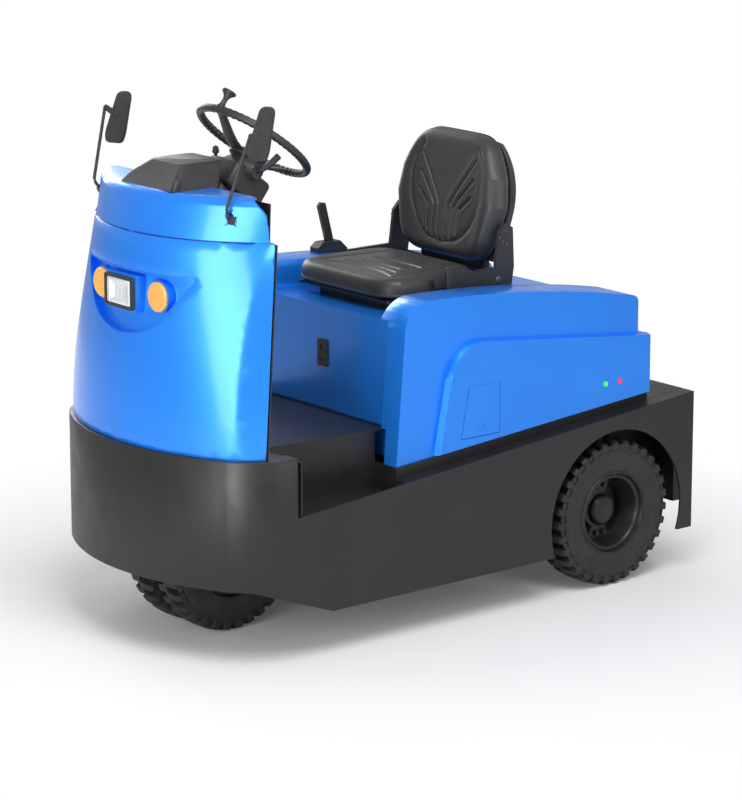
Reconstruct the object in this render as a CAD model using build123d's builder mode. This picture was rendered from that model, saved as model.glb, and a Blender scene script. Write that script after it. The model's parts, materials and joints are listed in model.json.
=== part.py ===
"""Electric baggage tug of the five-tonne class, modelled in millimetres.

X runs forward, Y to the driver's left, Z up, and the floor is Z = 0.
Lengths along the machine are given as distances ahead of the rear axle and turned
into X by ahead(), which puts the origin under the middle of the machine.
"""
from math import atan2, cos, degrees, radians, sin, tan
import os

from build123d import *

os.makedirs("parts", exist_ok=True)

# driving sizes
wheelbase = 1189.0
tyre_r = 230.0
rear_tyre_w = 122.0
front_tyre_w = 92.0
front_tyre_gap = 44.0
half_w = 490.0
nose_ahead = 1529.0
tail_behind = 318.0
coupling_out = 92.0
plate = 10.0
seat_gap = 0.3
run_gap = 0.05

mid_ahead = (nose_ahead - tail_behind - coupling_out) / 2


def ahead(distance):
    """X of a point that lies this far ahead of the rear axle."""
    return distance - mid_ahead


rear_axle_x = ahead(0)
steer_x = ahead(wheelbase)
tail_x = ahead(-tail_behind)

# bumper and skirts
bumper_arc_r = 772.0
bumper_corner_r = 207.0
bumper_rear = 1243.0
bumper_top = 610.0
bumper_t = 12.0
bumper_lip = 57.0
apron_z = 226.0
skirt_bottom = 135.0
ramp_start = 1116.0
ramp_slope = 0.36
skirt_front_top = 435.0
skirt_rise = 0.0882
skirt_flange = 44.0
arch_r = 270.0
arch_drop = 225.0

# floor and steps
floor_z = 600.0
floor_t = 6.0
hood_front = 795.0
step_inner_front = 300.0
step_inner_rear = 338.0
tread_z = 428.0
well_front = 1225.0
well_rear = 838.0

# hood
hood_half = 430.0
hood_wall = 5.0
hood_base_front = 503.0
hood_base_rear = 581.0
hood_tail = -130.0
hood_skirt_tail = -167.0
hood_step_z = 776.0
hood_top_front = 985.0
hood_top_rear = 893.0
tray_half = 318.0
tray_z = 925.0
tray_rear = 170.0
recess_d = 26.0
panel_t = 25.0
hood_lift = 0.3

# cowl
cowl_base = bumper_top
cowl_top = 1222.0
cowl_wall = 5.0
cap_top = 1345.0
cap_inset = 9.0

# seat
seat_half = 240.0
seat_front = 705.0
seat_back = 330.0
cushion_base = 945.0
cushion_top = 1010.0

# steering
wheel_ring_r = 178.0
wheel_grip_r = 12.0
wheel_ahead = 1020.0
wheel_z = 1434.0
wheel_tilt = 38.0


def skirt_top(distance):
    """Height of the sloping skirt top at a distance ahead of the rear axle."""
    return skirt_front_top + (1230 - distance) * skirt_rise


def hood_base(distance):
    """Height of the sloping lower edge of the hood."""
    return hood_base_front + (well_rear - distance) * (hood_base_rear - hood_base_front) / (
        well_rear - hood_skirt_tail)


def bumper_outline(inset):
    """Plan of the wrap-round bumper, pushed inward by the inset, closed across its rear."""
    arc_mid = ahead(nose_ahead - bumper_arc_r)
    big = bumper_arc_r - inset
    small = bumper_corner_r - inset
    reach = bumper_arc_r - bumper_corner_r
    cy = half_w - bumper_corner_r
    turn = atan2(cy, (reach**2 - cy**2) ** 0.5)
    cx = arc_mid + reach * cos(turn)
    join = (arc_mid + big * cos(turn), big * sin(turn))
    bend = (cx + small * cos((turn + radians(90)) / 2), cy + small * sin((turn + radians(90)) / 2))
    side = (cx, half_w - inset)
    rear = (ahead(bumper_rear), half_w - inset)
    ThreePointArc((join[0], -join[1]), (arc_mid + big, 0), join)
    ThreePointArc(join, bend, side)
    Line(side, rear)
    Line(rear, (rear[0], -rear[1]))
    Line((rear[0], -rear[1]), (side[0], -side[1]))
    ThreePointArc((side[0], -side[1]), (bend[0], -bend[1]), (join[0], -join[1]))


# front bumper: a wrapped plate with a lip on top and a ramp cut up to its apron
with BuildPart() as front_bumper:
    with BuildSketch(Plane.XY.offset(skirt_bottom)):
        with BuildLine():
            bumper_outline(0)
        make_face()
    extrude(amount=bumper_top - skirt_bottom)
    with BuildSketch(Plane.XY.offset(skirt_bottom)):
        with BuildLine():
            bumper_outline(bumper_t)
        make_face()
    extrude(amount=bumper_top - plate - skirt_bottom, mode=Mode.SUBTRACT)
    with BuildSketch(Plane.XY.offset(bumper_top - plate)):
        with BuildLine():
            bumper_outline(bumper_lip)
        make_face()
    extrude(amount=plate, mode=Mode.SUBTRACT)
    with BuildSketch(Plane.XZ):
        with BuildLine():
            Polyline(
                (ahead(ramp_start), skirt_bottom - 5),
                (ahead(ramp_start), skirt_bottom),
                (ahead(ramp_start + (apron_z - skirt_bottom) / ramp_slope), apron_z),
                (ahead(nose_ahead + 20), apron_z),
                (ahead(nose_ahead + 20), skirt_bottom - 5),
                close=True,
            )
        make_face()
    extrude(amount=half_w + 20, both=True, mode=Mode.SUBTRACT)
front_bumper.part.label = "front_bumper"
export_step(front_bumper.part, "parts/front_bumper.step")

# side skirt: plate with a wheel arch, a top flange behind the step, and the ramp at its foot
with BuildPart() as skirt_left:
    with BuildSketch(Plane.XZ.offset(-half_w)):
        with BuildLine():
            Polyline(
                (tail_x, skirt_bottom),
                (tail_x, skirt_top(-tail_behind)),
                (ahead(bumper_rear), skirt_top(bumper_rear)),
                (ahead(bumper_rear), skirt_bottom + (bumper_rear - ramp_start) * ramp_slope),
                (ahead(ramp_start), skirt_bottom),
                close=True,
            )
        make_face()
        with Locations((rear_axle_x, arch_drop)):
            Circle(arch_r, mode=Mode.SUBTRACT)
        with Locations((rear_axle_x, arch_drop - arch_r)):
            Rectangle(2 * 262, 2 * (skirt_bottom - arch_drop + arch_r), mode=Mode.SUBTRACT)
    extrude(amount=plate)
    with BuildSketch(Plane.XZ.offset(-half_w + plate)):
        with BuildLine():
            Polyline(
                (tail_x, skirt_top(-tail_behind)),
                (ahead(well_rear), skirt_top(well_rear)),
                (ahead(well_rear), skirt_top(well_rear) - plate),
                (tail_x, skirt_top(-tail_behind) - plate),
                close=True,
            )
        make_face()
    extrude(amount=skirt_flange)
skirt_left.part.label = "skirt_left"
export_step(skirt_left.part, "parts/skirt_left.step")

with BuildPart() as skirt_right:
    mirror(skirt_left.part, about=Plane.XZ)
skirt_right.part.label = "skirt_right"
export_step(skirt_right.part, "parts/skirt_right.step")


# floor: deck plate between bumper and hood, folded down along both step wells
with BuildPart() as floor_plate:
    with BuildSketch(Plane.XY.offset(floor_z - floor_t)):
        with BuildLine():
            Polyline(
                (ahead(hood_front - 3), step_inner_rear),
                (ahead(well_rear), step_inner_rear),
                (ahead(well_front), step_inner_front),
                (ahead(well_front), -step_inner_front),
                (ahead(well_rear), -step_inner_rear),
                (ahead(hood_front - 3), -step_inner_rear),
                close=True,
            )
        make_face()
    extrude(amount=floor_t)
    with BuildSketch(Plane.XY.offset(tread_z)):
        with BuildLine():
            Polyline(
                (ahead(well_rear), step_inner_rear),
                (ahead(well_front), step_inner_front),
                (ahead(well_front), step_inner_front - floor_t),
                (ahead(well_rear), step_inner_rear - floor_t),
                close=True,
            )
        make_face()
        mirror(about=Plane.XZ)
    extrude(amount=floor_z - tread_z)
floor_plate.part.label = "floor_plate"
export_step(floor_plate.part, "parts/floor_plate.step")

# front closing plate of the floor, under the bumper lip
with BuildPart() as nose_floor:
    with BuildSketch(Plane.XY.offset(bumper_top - plate - floor_t)):
        with BuildLine():
            bumper_outline(bumper_t)
        make_face()
        with Locations((ahead(well_front - 500), 0)):
            Rectangle(1000, 3 * half_w, mode=Mode.SUBTRACT)
    extrude(amount=floor_t)
nose_floor.part.label = "nose_floor"
export_step(nose_floor.part, "parts/nose_floor.step")

# steps: a tread and its two risers on each side
with BuildPart() as steps:
    with BuildSketch(Plane.XY.offset(tread_z - floor_t)):
        with BuildLine():
            Polyline(
                (ahead(well_rear), step_inner_rear - floor_t),
                (ahead(well_rear), half_w - plate),
                (ahead(well_front), half_w - plate),
                (ahead(well_front), step_inner_front - floor_t),
                close=True,
            )
        make_face()
    extrude(amount=floor_t)
    with BuildSketch(Plane.XY.offset(tread_z)):
        with Locations((ahead(well_front) - floor_t / 2, (half_w - plate + step_inner_front + 1) / 2)):
            Rectangle(floor_t, half_w - plate - step_inner_front - 1)
    extrude(amount=bumper_top - plate - floor_t - tread_z)
    with BuildSketch(Plane.XY.offset(tread_z)):
        with Locations((ahead(well_rear) + floor_t / 2, (half_w - plate + step_inner_rear) / 2)):
            Rectangle(floor_t, half_w - plate - step_inner_rear)
    extrude(amount=skirt_top(well_rear) - plate - tread_z)
    mirror(about=Plane.XZ)
steps.part.label = "steps"
export_step(steps.part, "parts/steps.step")

# main frame: side rails, battery floor and the dark sill that the hood closes on
rail_y = 325.0
rail_t = 8.0
sill_t = 8.0
sill_y = half_w - plate - skirt_flange
tank_floor = 180.0
axle_floor = 305.0
tank_rear = 268.0

with BuildPart() as main_frame:
    with BuildSketch(Plane.XZ.offset(-rail_y - rail_t)):
        with BuildLine():
            Polyline(
                (ahead(well_rear - floor_t), tank_floor),
                (ahead(tank_rear), tank_floor),
                (ahead(tank_rear), axle_floor),
                (ahead(-tail_behind + 30), axle_floor),
                (ahead(-tail_behind + 30), skirt_top(-tail_behind + 30) - plate),
                (ahead(well_rear - floor_t), skirt_top(well_rear - floor_t) - plate),
                close=True,
            )
        make_face()
    extrude(amount=rail_t)
    mirror(about=Plane.XZ)
    with BuildSketch(Plane.XZ):
        with BuildLine():
            Polyline(
                (ahead(well_rear - floor_t), tank_floor),
                (ahead(well_rear - floor_t), skirt_top(well_rear) - plate),
                (ahead(well_rear - floor_t) - rail_t, skirt_top(well_rear) - plate),
                (ahead(well_rear - floor_t) - rail_t, tank_floor + rail_t),
                (ahead(tank_rear) + rail_t, tank_floor + rail_t),
                (ahead(tank_rear) + rail_t, axle_floor + rail_t),
                (ahead(-tail_behind + 30), axle_floor + rail_t),
                (ahead(-tail_behind + 30), axle_floor),
                (ahead(tank_rear), axle_floor),
                (ahead(tank_rear), tank_floor),
                close=True,
            )
        make_face()
    extrude(amount=rail_y + rail_t / 2, both=True)
main_frame.part.label = "main_frame"
export_step(main_frame.part, "parts/main_frame.step")

with BuildPart() as sill_frame:
    with BuildSketch(Plane.XZ):
        with BuildLine():
            Polyline(
                (ahead(well_rear), skirt_top(well_rear) - plate),
                (ahead(well_rear), hood_base(well_rear) - hood_lift),
                (ahead(hood_skirt_tail), hood_base(hood_skirt_tail) - hood_lift),
                (ahead(hood_skirt_tail), skirt_top(hood_skirt_tail) - plate),
                close=True,
            )
        make_face()
    extrude(amount=sill_y, both=True)
    with BuildSketch(Plane.XY.offset(skirt_top(well_rear) - 60)):
        with Locations((ahead((well_rear + hood_skirt_tail) / 2), 0)):
            Rectangle(well_rear - hood_skirt_tail - 2 * sill_t, 2 * (rail_y + rail_t))
    extrude(amount=300, mode=Mode.SUBTRACT)
    with BuildSketch(Plane.XZ):
        with BuildLine():
            Polyline(
                (ahead(well_rear) - sill_t, skirt_top(well_rear) + 2 - plate + sill_t),
                (ahead(well_rear) - sill_t, 700),
                (ahead(hood_skirt_tail) + sill_t, 700),
                (ahead(hood_skirt_tail) + sill_t, skirt_top(hood_skirt_tail) - 2 - plate + sill_t),
                close=True,
            )
        make_face()
    extrude(amount=sill_y - sill_t, both=True, mode=Mode.SUBTRACT)
sill_frame.part.label = "sill_frame"
export_step(sill_frame.part, "parts/sill_frame.step")

battery_front = 740.0
battery_long = 455.0
battery_wide = 620.0
battery_tall = 620.0
with BuildPart() as battery_pack:
    with BuildSketch(Plane.XY.offset(tank_floor + rail_t)):
        with Locations((ahead(battery_front - battery_long / 2), 0)):
            Rectangle(battery_long, battery_wide)
    extrude(amount=battery_tall)
    chamfer(battery_pack.edges().filter_by(Axis.Z), 8)
battery_pack.part.label = "battery_pack"
export_step(battery_pack.part, "parts/battery_pack.step")

# rear end: counterweight plate with the deck plate behind the hood
tail_t = 30.0
with BuildPart() as rear_plate:
    with BuildSketch(Plane.XZ):
        with BuildLine():
            Polyline(
                (tail_x, 210),
                (tail_x, skirt_top(-tail_behind)),
                (ahead(hood_skirt_tail), skirt_top(hood_skirt_tail)),
                (ahead(hood_skirt_tail), skirt_top(hood_skirt_tail) - plate),
                (tail_x + tail_t, skirt_top(-tail_behind + tail_t) - plate),
                (tail_x + tail_t, 210),
                close=True,
            )
        make_face()
    extrude(amount=sill_y, both=True)
rear_plate.part.label = "rear_plate"
export_step(rear_plate.part, "parts/rear_plate.step")

# tow coupling: three ears on a backing plate, with a drop pin
ear_t = 16.0
ear_pitch = 62.0
ear_low = 290.0
pin_r = 12.5
pin_play = 0.5
pin_x = tail_x - 62.0
back_t = 20.0
with BuildPart() as tow_coupling:
    with BuildSketch(Plane.YZ.offset(tail_x - back_t)):
        with Locations((0, ear_low + ear_pitch + ear_t / 2)):
            RectangleRounded(190, 2 * ear_pitch + ear_t + 70, 12)
    extrude(amount=back_t)
    for level in range(3):
        with BuildSketch(Plane.XY.offset(ear_low + level * ear_pitch)):
            with BuildLine():
                Line((tail_x - back_t, 62), (tail_x - back_t, -62))
                Line((tail_x - back_t, -62), (pin_x, -30))
                ThreePointArc((pin_x, -30), (pin_x - 30, 0), (pin_x, 30))
                Line((pin_x, 30), (tail_x - back_t, 62))
            make_face()
            with Locations((pin_x, 0)):
                Circle(pin_r + pin_play, mode=Mode.SUBTRACT)
        extrude(amount=ear_t)
tow_coupling.part.label = "tow_coupling"
export_step(tow_coupling.part, "parts/tow_coupling.step")

with BuildPart() as tow_pin:
    with BuildSketch(Plane.XY.offset(ear_low - 18)):
        with Locations((pin_x, 0)):
            Circle(pin_r)
    extrude(amount=2 * ear_pitch + ear_t + 18)
    with BuildSketch(Plane.XY.offset(ear_low + 2 * ear_pitch + ear_t)):
        with Locations((pin_x, 0)):
            Circle(pin_r + 8)
    extrude(amount=10)
    with BuildSketch(Plane.XZ):
        with Locations((pin_x, ear_low + 2 * ear_pitch + ear_t + 10 + 22)):
            Circle(26)
            Circle(17, mode=Mode.SUBTRACT)
    extrude(amount=4, both=True)
    chamfer(tow_pin.edges().group_by(Axis.Z)[0], 3)
tow_pin.part.label = "tow_pin"
export_step(tow_pin.part, "parts/tow_pin.step")

# rear axle with its gear case and the drive motor ahead of it
stub_r = 25.0
with BuildPart() as rear_axle:
    with BuildSketch(Plane.XY.offset(tyre_r)):
        with BuildLine():
            Polyline(
                (rear_axle_x, 0), (rear_axle_x + 73, 0), (rear_axle_x + 73, 45),
                (rear_axle_x + 58, 85), (rear_axle_x + 44, 130), (rear_axle_x + 40, 330),
                (rear_axle_x + 62, 332), (rear_axle_x + 62, 344), (rear_axle_x + stub_r, 344),
                (rear_axle_x + stub_r, 419), (rear_axle_x, 419), close=True)
        make_face()
    revolve(axis=Axis((rear_axle_x, 0, tyre_r), (0, 1, 0)))
    mirror(about=Plane.XZ)
    with BuildSketch(Plane.YZ.offset(rear_axle_x + 60)):
        with Locations((0, tyre_r)):
            Circle(70)
    extrude(amount=150)
    with BuildSketch(Plane.XY.offset(tyre_r)):
        with Locations((rear_axle_x, 260), (rear_axle_x, -260)):
            Rectangle(70, 60)
    extrude(amount=axle_floor - tyre_r)
rear_axle.part.label = "rear_axle"
export_step(rear_axle.part, "parts/rear_axle.step")


def wheel_axis(x):
    """Spin axis of a wheel whose hub stands at this X."""
    return Axis((x, 0, tyre_r), (0, 1, 0))


rim_r = 130.0
rim_t = 9.0
dish = 65.0
hub_cap_r = 48.0
lug_depth = 22.0


def tyre_profile(x, inner, outer):
    """Half section of a solid tyre between its inner and outer face, for a revolve."""
    crown = tyre_r
    shoulder = tyre_r - lug_depth - 9
    mid = (inner + outer) / 2
    edge = (outer - inner) / 2
    Polyline(
        (x + rim_r, mid - edge + 6), (x + rim_r + 12, mid - edge + 1), (x + shoulder - 20, mid - edge),
        (x + shoulder, mid - edge + 1), (x + crown - 4, mid - edge + 4), (x + crown, mid - edge + 10),
        (x + crown, mid + edge - 10), (x + crown - 4, mid + edge - 4), (x + shoulder, mid + edge - 1),
        (x + shoulder - 20, mid + edge), (x + rim_r + 12, mid + edge - 1), (x + rim_r, mid + edge - 6),
        close=True,
    )


def rim_profile(x, inner, outer, bore, deep):
    """Half section of a dished rim with its hub, open to the axle from the inner side."""
    disc = outer - deep
    Polyline(
        (x + bore, inner), (x + hub_cap_r, inner), (x + hub_cap_r, disc - 9), (x + 96, disc - 9),
        (x + rim_r - rim_t - 4, inner + 18), (x + rim_r - rim_t, inner + 1), (x + rim_r, inner + 1),
        (x + rim_r, outer - 3), (x + rim_r - rim_t, outer - 3), (x + rim_r - rim_t - 6, outer - 22),
        (x + 97, disc), (x + hub_cap_r, disc), (x + hub_cap_r - 2, disc + 18), (x + 34, disc + 26),
        (x, disc + 28), (x, disc + 12), (x + bore, disc + 12), close=True,
    )


rear_out = 475.0
rear_in = rear_out - rear_tyre_w
front_in = front_tyre_gap / 2
front_out = front_in + front_tyre_w
front_stub_r = 20.0
front_dish = 44.0

with BuildPart() as rear_tyre_left:
    with BuildSketch(Plane.XY.offset(tyre_r)):
        with BuildLine():
            tyre_profile(rear_axle_x, rear_in, rear_out)
        make_face()
    revolve(axis=wheel_axis(rear_axle_x))
rear_tyre_left.part.label = "rear_tyre_left"
export_step(rear_tyre_left.part, "parts/rear_tyre_left.step")

with BuildPart() as rear_tyre_right:
    mirror(rear_tyre_left.part, about=Plane.XZ)
rear_tyre_right.part.label = "rear_tyre_right"
export_step(rear_tyre_right.part, "parts/rear_tyre_right.step")

with BuildPart() as rear_rim_left:
    with BuildSketch(Plane.XY.offset(tyre_r)):
        with BuildLine():
            rim_profile(rear_axle_x, rear_in, rear_out, stub_r + run_gap, dish)
        make_face()
    revolve(axis=wheel_axis(rear_axle_x))
rear_rim_left.part.label = "rear_rim_left"
export_step(rear_rim_left.part, "parts/rear_rim_left.step")

with BuildPart() as rear_rim_right:
    mirror(rear_rim_left.part, about=Plane.XZ)
rear_rim_right.part.label = "rear_rim_right"
export_step(rear_rim_right.part, "parts/rear_rim_right.step")

with BuildPart() as front_tyres:
    with BuildSketch(Plane.XY.offset(tyre_r)):
        with BuildLine():
            tyre_profile(steer_x, front_in, front_out)
        make_face()
    revolve(axis=wheel_axis(steer_x))
    mirror(about=Plane.XZ)
front_tyres.part.label = "front_tyres"
export_step(front_tyres.part, "parts/front_tyres.step")

with BuildPart() as front_rims:
    with BuildSketch(Plane.XY.offset(tyre_r)):
        with BuildLine():
            rim_profile(steer_x, front_in, front_out, front_stub_r + run_gap, front_dish)
        make_face()
    revolve(axis=wheel_axis(steer_x))
    mirror(about=Plane.XZ)
front_rims.part.label = "front_rims"
export_step(front_rims.part, "parts/front_rims.step")

# steering leg: one plate between the twin wheels, a turntable and a kingpin
leg_half = 14.0
turntable_z = 482.0
turntable_t = 18.0
kingpin_r = 30.0
with BuildPart() as steer_leg:
    with BuildSketch(Plane.XZ):
        with BuildLine():
            Line((steer_x - 95, turntable_z), (steer_x + 95, turntable_z))
            Line((steer_x + 95, turntable_z), (steer_x + 42, tyre_r))
            ThreePointArc((steer_x + 42, tyre_r), (steer_x, tyre_r - 42), (steer_x - 42, tyre_r))
            Line((steer_x - 42, tyre_r), (steer_x - 95, turntable_z))
        make_face()
    extrude(amount=leg_half, both=True)
    with BuildSketch(Plane.XY.offset(turntable_z)):
        with Locations((steer_x, 0)):
            Circle(120)
    extrude(amount=turntable_t)
    with BuildSketch(Plane.XY.offset(turntable_z + turntable_t)):
        with Locations((steer_x, 0)):
            Circle(kingpin_r)
    extrude(amount=86)
    with BuildSketch(Plane.XZ):
        with Locations((steer_x, tyre_r)):
            Circle(front_stub_r)
    extrude(amount=front_out - front_dish + 8, both=True)
    with BuildSketch(Plane.XZ):
        with Locations((steer_x, tyre_r)):
            Circle(front_stub_r + 10)
    extrude(amount=front_in - 1, both=True)
steer_leg.part.label = "steer_leg"
export_step(steer_leg.part, "parts/steer_leg.step")

# steering head: cross beam under the floor with the kingpin bearing
with BuildPart() as steer_head:
    with BuildSketch(Plane.XY.offset(turntable_z + turntable_t + 34)):
        with Locations((steer_x, 0)):
            RectangleRounded(260, 2 * (step_inner_front - floor_t) - 2, 10)
    extrude(amount=floor_z - floor_t - turntable_z - turntable_t - 34)
    with BuildSketch(Plane.XY.offset(turntable_z + turntable_t + 0.5)):
        with Locations((steer_x, 0)):
            Circle(72)
    extrude(amount=40)
    with BuildSketch(Plane.XY.offset(turntable_z + turntable_t)):
        with Locations((steer_x, 0)):
            Circle(kingpin_r + run_gap)
    extrude(amount=90, mode=Mode.SUBTRACT)
steer_head.part.label = "steer_head"
export_step(steer_head.part, "parts/steer_head.step")

# front cowl: plan sections that lean back and grow rounder toward the top
cowl_nose = 1516.0
cowl_nose_lean = 38.0
cowl_crease = 1402.0
cowl_crease_lean = 126.0
cowl_rear = 1332.0
cowl_rear_lean = 67.0
cowl_half = 457.0
cowl_half_taper = 37.0
crease_half = 400.0


def cowl_plan(z, inset, tail=0.0):
    """Draw the cowl's plan at a height, pushed inward by the inset and cut off square behind."""
    t = (z - cowl_base) / (cowl_top - cowl_base)
    nose = ahead(cowl_nose - cowl_nose_lean * t**2) - inset
    crease = ahead(cowl_crease - cowl_crease_lean * max(t, 0) ** 1.9) - inset
    rear = ahead(cowl_rear - cowl_rear_lean * t) - tail
    side = cowl_half - cowl_half_taper * t - inset
    corner = crease_half - inset
    ThreePointArc((crease, -corner), (nose, 0), (crease, corner))
    Line((crease, corner), (rear, side))
    Line((rear, side), (rear, -side))
    Line((rear, -side), (crease, -corner))


def cowl_body(inset, low, high, tail=0.0):
    """Lofted cowl volume between two heights, pushed inward by the inset."""
    with BuildPart(mode=Mode.PRIVATE) as body:
        for step in range(4):
            z = low + (high - low) * step / 3
            with BuildSketch(Plane.XY.offset(z)):
                with BuildLine():
                    cowl_plan(z, inset, tail)
                make_face()
        loft()
    return body.part


lamp_z = 1050.0
lamp_y = 135.0
lamp_r = 44.0
recess_depth = 24.0
head_w = 134.0
head_h = 94.0
head_face = 1512.0
recess_top = 1118.0
recess_low = 928.0


def recess_outline(inset):
    """Shield outline of the lamp recess, seen from the front, pushed inward by the inset."""
    wide = 256 - inset
    waist = 166 - inset
    top = recess_top - inset
    Line((-wide + 10, top), (wide - 10, top))
    ThreePointArc((wide - 10, top), (wide - 2, top - 5), (wide - 2, top - 16))
    Line((wide - 2, top - 16), (waist, 985))
    ThreePointArc((waist, 985), (0, recess_low + inset), (-waist, 985))
    Line((-waist, 985), (-wide + 2, top - 16))
    ThreePointArc((-wide + 2, top - 16), (-wide + 2, top - 5), (-wide + 10, top))


with BuildPart() as front_cowl:
    add(cowl_body(0, cowl_base, cowl_top))
    add(cowl_body(cowl_wall, cowl_base - 1, cowl_top - cowl_wall, 40), mode=Mode.SUBTRACT)
    with BuildSketch(Plane.XY.offset(cowl_top - 20)):
        with BuildLine():
            cowl_plan(cowl_top, cap_inset + 14, 60)
        make_face()
    extrude(amount=40, mode=Mode.SUBTRACT)
    with BuildSketch(Plane.YZ.offset(ahead(1300))):
        with BuildLine():
            recess_outline(0)
        make_face()
    extrude(amount=300, mode=Mode.SUBTRACT)
front_cowl.part.label = "front_cowl"
export_step(front_cowl.part, "parts/front_cowl.step")

with BuildPart() as lamp_pocket:
    with BuildSketch(Plane.YZ.offset(ahead(1300))):
        with BuildLine():
            recess_outline(4)
        make_face()
    extrude(amount=300)
    add(cowl_body(recess_depth, cowl_base - 1, cowl_top + 1, 60), mode=Mode.SUBTRACT)

with BuildPart() as lamp_panel:
    with BuildSketch(Plane.YZ.offset(ahead(1300))):
        with BuildLine():
            recess_outline(seat_gap)
        make_face()
    extrude(amount=300)
    add(cowl_body(0, cowl_base, cowl_top), mode=Mode.INTERSECT)
    add(cowl_body(recess_depth + 5, cowl_base - 1, cowl_top + 1, 60), mode=Mode.SUBTRACT)
    add(lamp_pocket.part, mode=Mode.SUBTRACT)
    with BuildSketch(Plane.YZ.offset(ahead(head_face - 12))):
        with Locations((0, lamp_z)):
            RectangleRounded(head_w + 14, head_h + 14, 8)
    extrude(amount=-50)
    for side in (1, -1):
        with BuildSketch(Plane.YZ.offset(ahead(1466))):
            with Locations((side * lamp_y, lamp_z)):
                Circle(lamp_r + 5)
        extrude(amount=-30)
lamp_panel.part.label = "lamp_panel"
export_step(lamp_panel.part, "parts/lamp_panel.step")

with BuildPart() as headlamp:
    with BuildSketch(Plane.YZ.offset(ahead(head_face - 12))):
        with Locations((0, lamp_z)):
            RectangleRounded(head_w, head_h, 7)
    extrude(amount=12)
    with BuildSketch(Plane.YZ.offset(ahead(head_face))):
        with Locations((0, lamp_z)):
            RectangleRounded(head_w - 16, head_h - 16, 4)
    extrude(amount=-8, mode=Mode.SUBTRACT)
headlamp.part.label = "headlamp"
export_step(headlamp.part, "parts/headlamp.step")

with BuildPart() as headlamp_lens:
    with BuildSketch(Plane.YZ.offset(ahead(head_face - 2))):
        with Locations((0, lamp_z)):
            RectangleRounded(head_w - 16 - 2 * seat_gap, head_h - 16 - 2 * seat_gap, 4)
    extrude(amount=-6)
headlamp_lens.part.label = "headlamp_lens"
export_step(headlamp_lens.part, "parts/headlamp_lens.step")

with BuildPart() as turn_lamps:
    with BuildSketch(Plane.YZ.offset(ahead(1466))):
        with Locations((lamp_y, lamp_z), (-lamp_y, lamp_z)):
            Circle(lamp_r)
    extrude(amount=9)
    fillet(turn_lamps.edges().group_by(Axis.X)[-1], 5)
turn_lamps.part.label = "turn_lamps"
export_step(turn_lamps.part, "parts/turn_lamps.step")

# cap above the cowl: rounded over at the top and open to the dash behind
rod_r = 5.0
cap_rear = 1275.0
cap_half = 404.0
cap_taper = 12.0
cap_nose = 1468.0
cap_lean = 26.0


def cap_body(inset):
    """Cap volume from the cowl's shoulder to its rounded top, pushed inward by the inset."""
    with BuildPart(mode=Mode.PRIVATE) as body:
        for level, lean, taper in ((cowl_top + (seat_gap if not inset else -1), 0, 0),
                                   (cap_top - inset, cap_lean, cap_taper)):
            half = cap_half - taper - inset
            rear = ahead(cap_rear) - (60 if inset else 1)
            with BuildSketch(Plane.XY.offset(level)):
                with BuildLine():
                    ThreePointArc((ahead(cap_rear), -half), (ahead(cap_nose - lean) - inset, 0),
                                  (ahead(cap_rear), half))
                    Line((ahead(cap_rear), half), (rear, half))
                    Line((rear, half), (rear, -half))
                    Line((rear, -half), (ahead(cap_rear), -half))
                make_face()
        loft()
        fillet(body.faces().sort_by(Axis.Z)[-1].edges().sort_by(Axis.X)[-1], 30 - inset)
    return body.part


def rod_hole(side):
    """Hole axis of a mirror rod where it enters the cap."""
    return Plane(origin=(ahead(1322), side * 314, 1264), z_dir=(20, side * 4, 21))


with BuildPart() as cowl_cap:
    add(cap_body(0))
    add(cap_body(cowl_wall), mode=Mode.SUBTRACT)
    for side in (1, -1):
        with BuildSketch(rod_hole(side)):
            Circle(rod_r + seat_gap)
        extrude(amount=120, mode=Mode.SUBTRACT)
cowl_cap.part.label = "cowl_cap"
export_step(cowl_cap.part, "parts/cowl_cap.step")

# inner leg shield facing the driver, leaning with the cowl's rear edge
shield_t = 4.0
shield_foot = 1322.0
shield_lean = atan2(cowl_rear_lean, cowl_top - cowl_base)
shield_plane = Plane(origin=(ahead(shield_foot), 0, cowl_base + seat_gap + shield_t * sin(shield_lean)),
                     x_dir=(0, 1, 0),
                     z_dir=(cos(shield_lean), 0, sin(shield_lean)))
with BuildPart() as leg_shield:
    low = cowl_half - cowl_wall - 1.2
    high = low - cowl_half_taper
    rise = (cowl_top - cowl_wall - cowl_base - 2) / cos(shield_lean)
    top = rise + 110
    with BuildSketch(shield_plane):
        with BuildLine():
            Polyline((-low, 0), (low, 0), (high, rise), (cap_half - 26, rise), (cap_half - 36, top),
                     (36 - cap_half, top), (26 - cap_half, rise), (-high, rise), close=True)
        make_face()
    extrude(amount=-shield_t)
leg_shield.part.label = "leg_shield"
export_step(leg_shield.part, "parts/leg_shield.step")

# dash console standing on the cap, narrowing upward
with BuildPart() as dash_console:
    with BuildSketch(Plane.XY.offset(cap_top)):
        with Locations((ahead(1330), 0)):
            RectangleRounded(170, 290, 20)
    with BuildSketch(Plane.XY.offset(cap_top + 62)):
        with Locations((ahead(1262), 0)):
            RectangleRounded(150, 160, 20)
    loft()
dash_console.part.label = "dash_console"
export_step(dash_console.part, "parts/dash_console.step")

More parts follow.
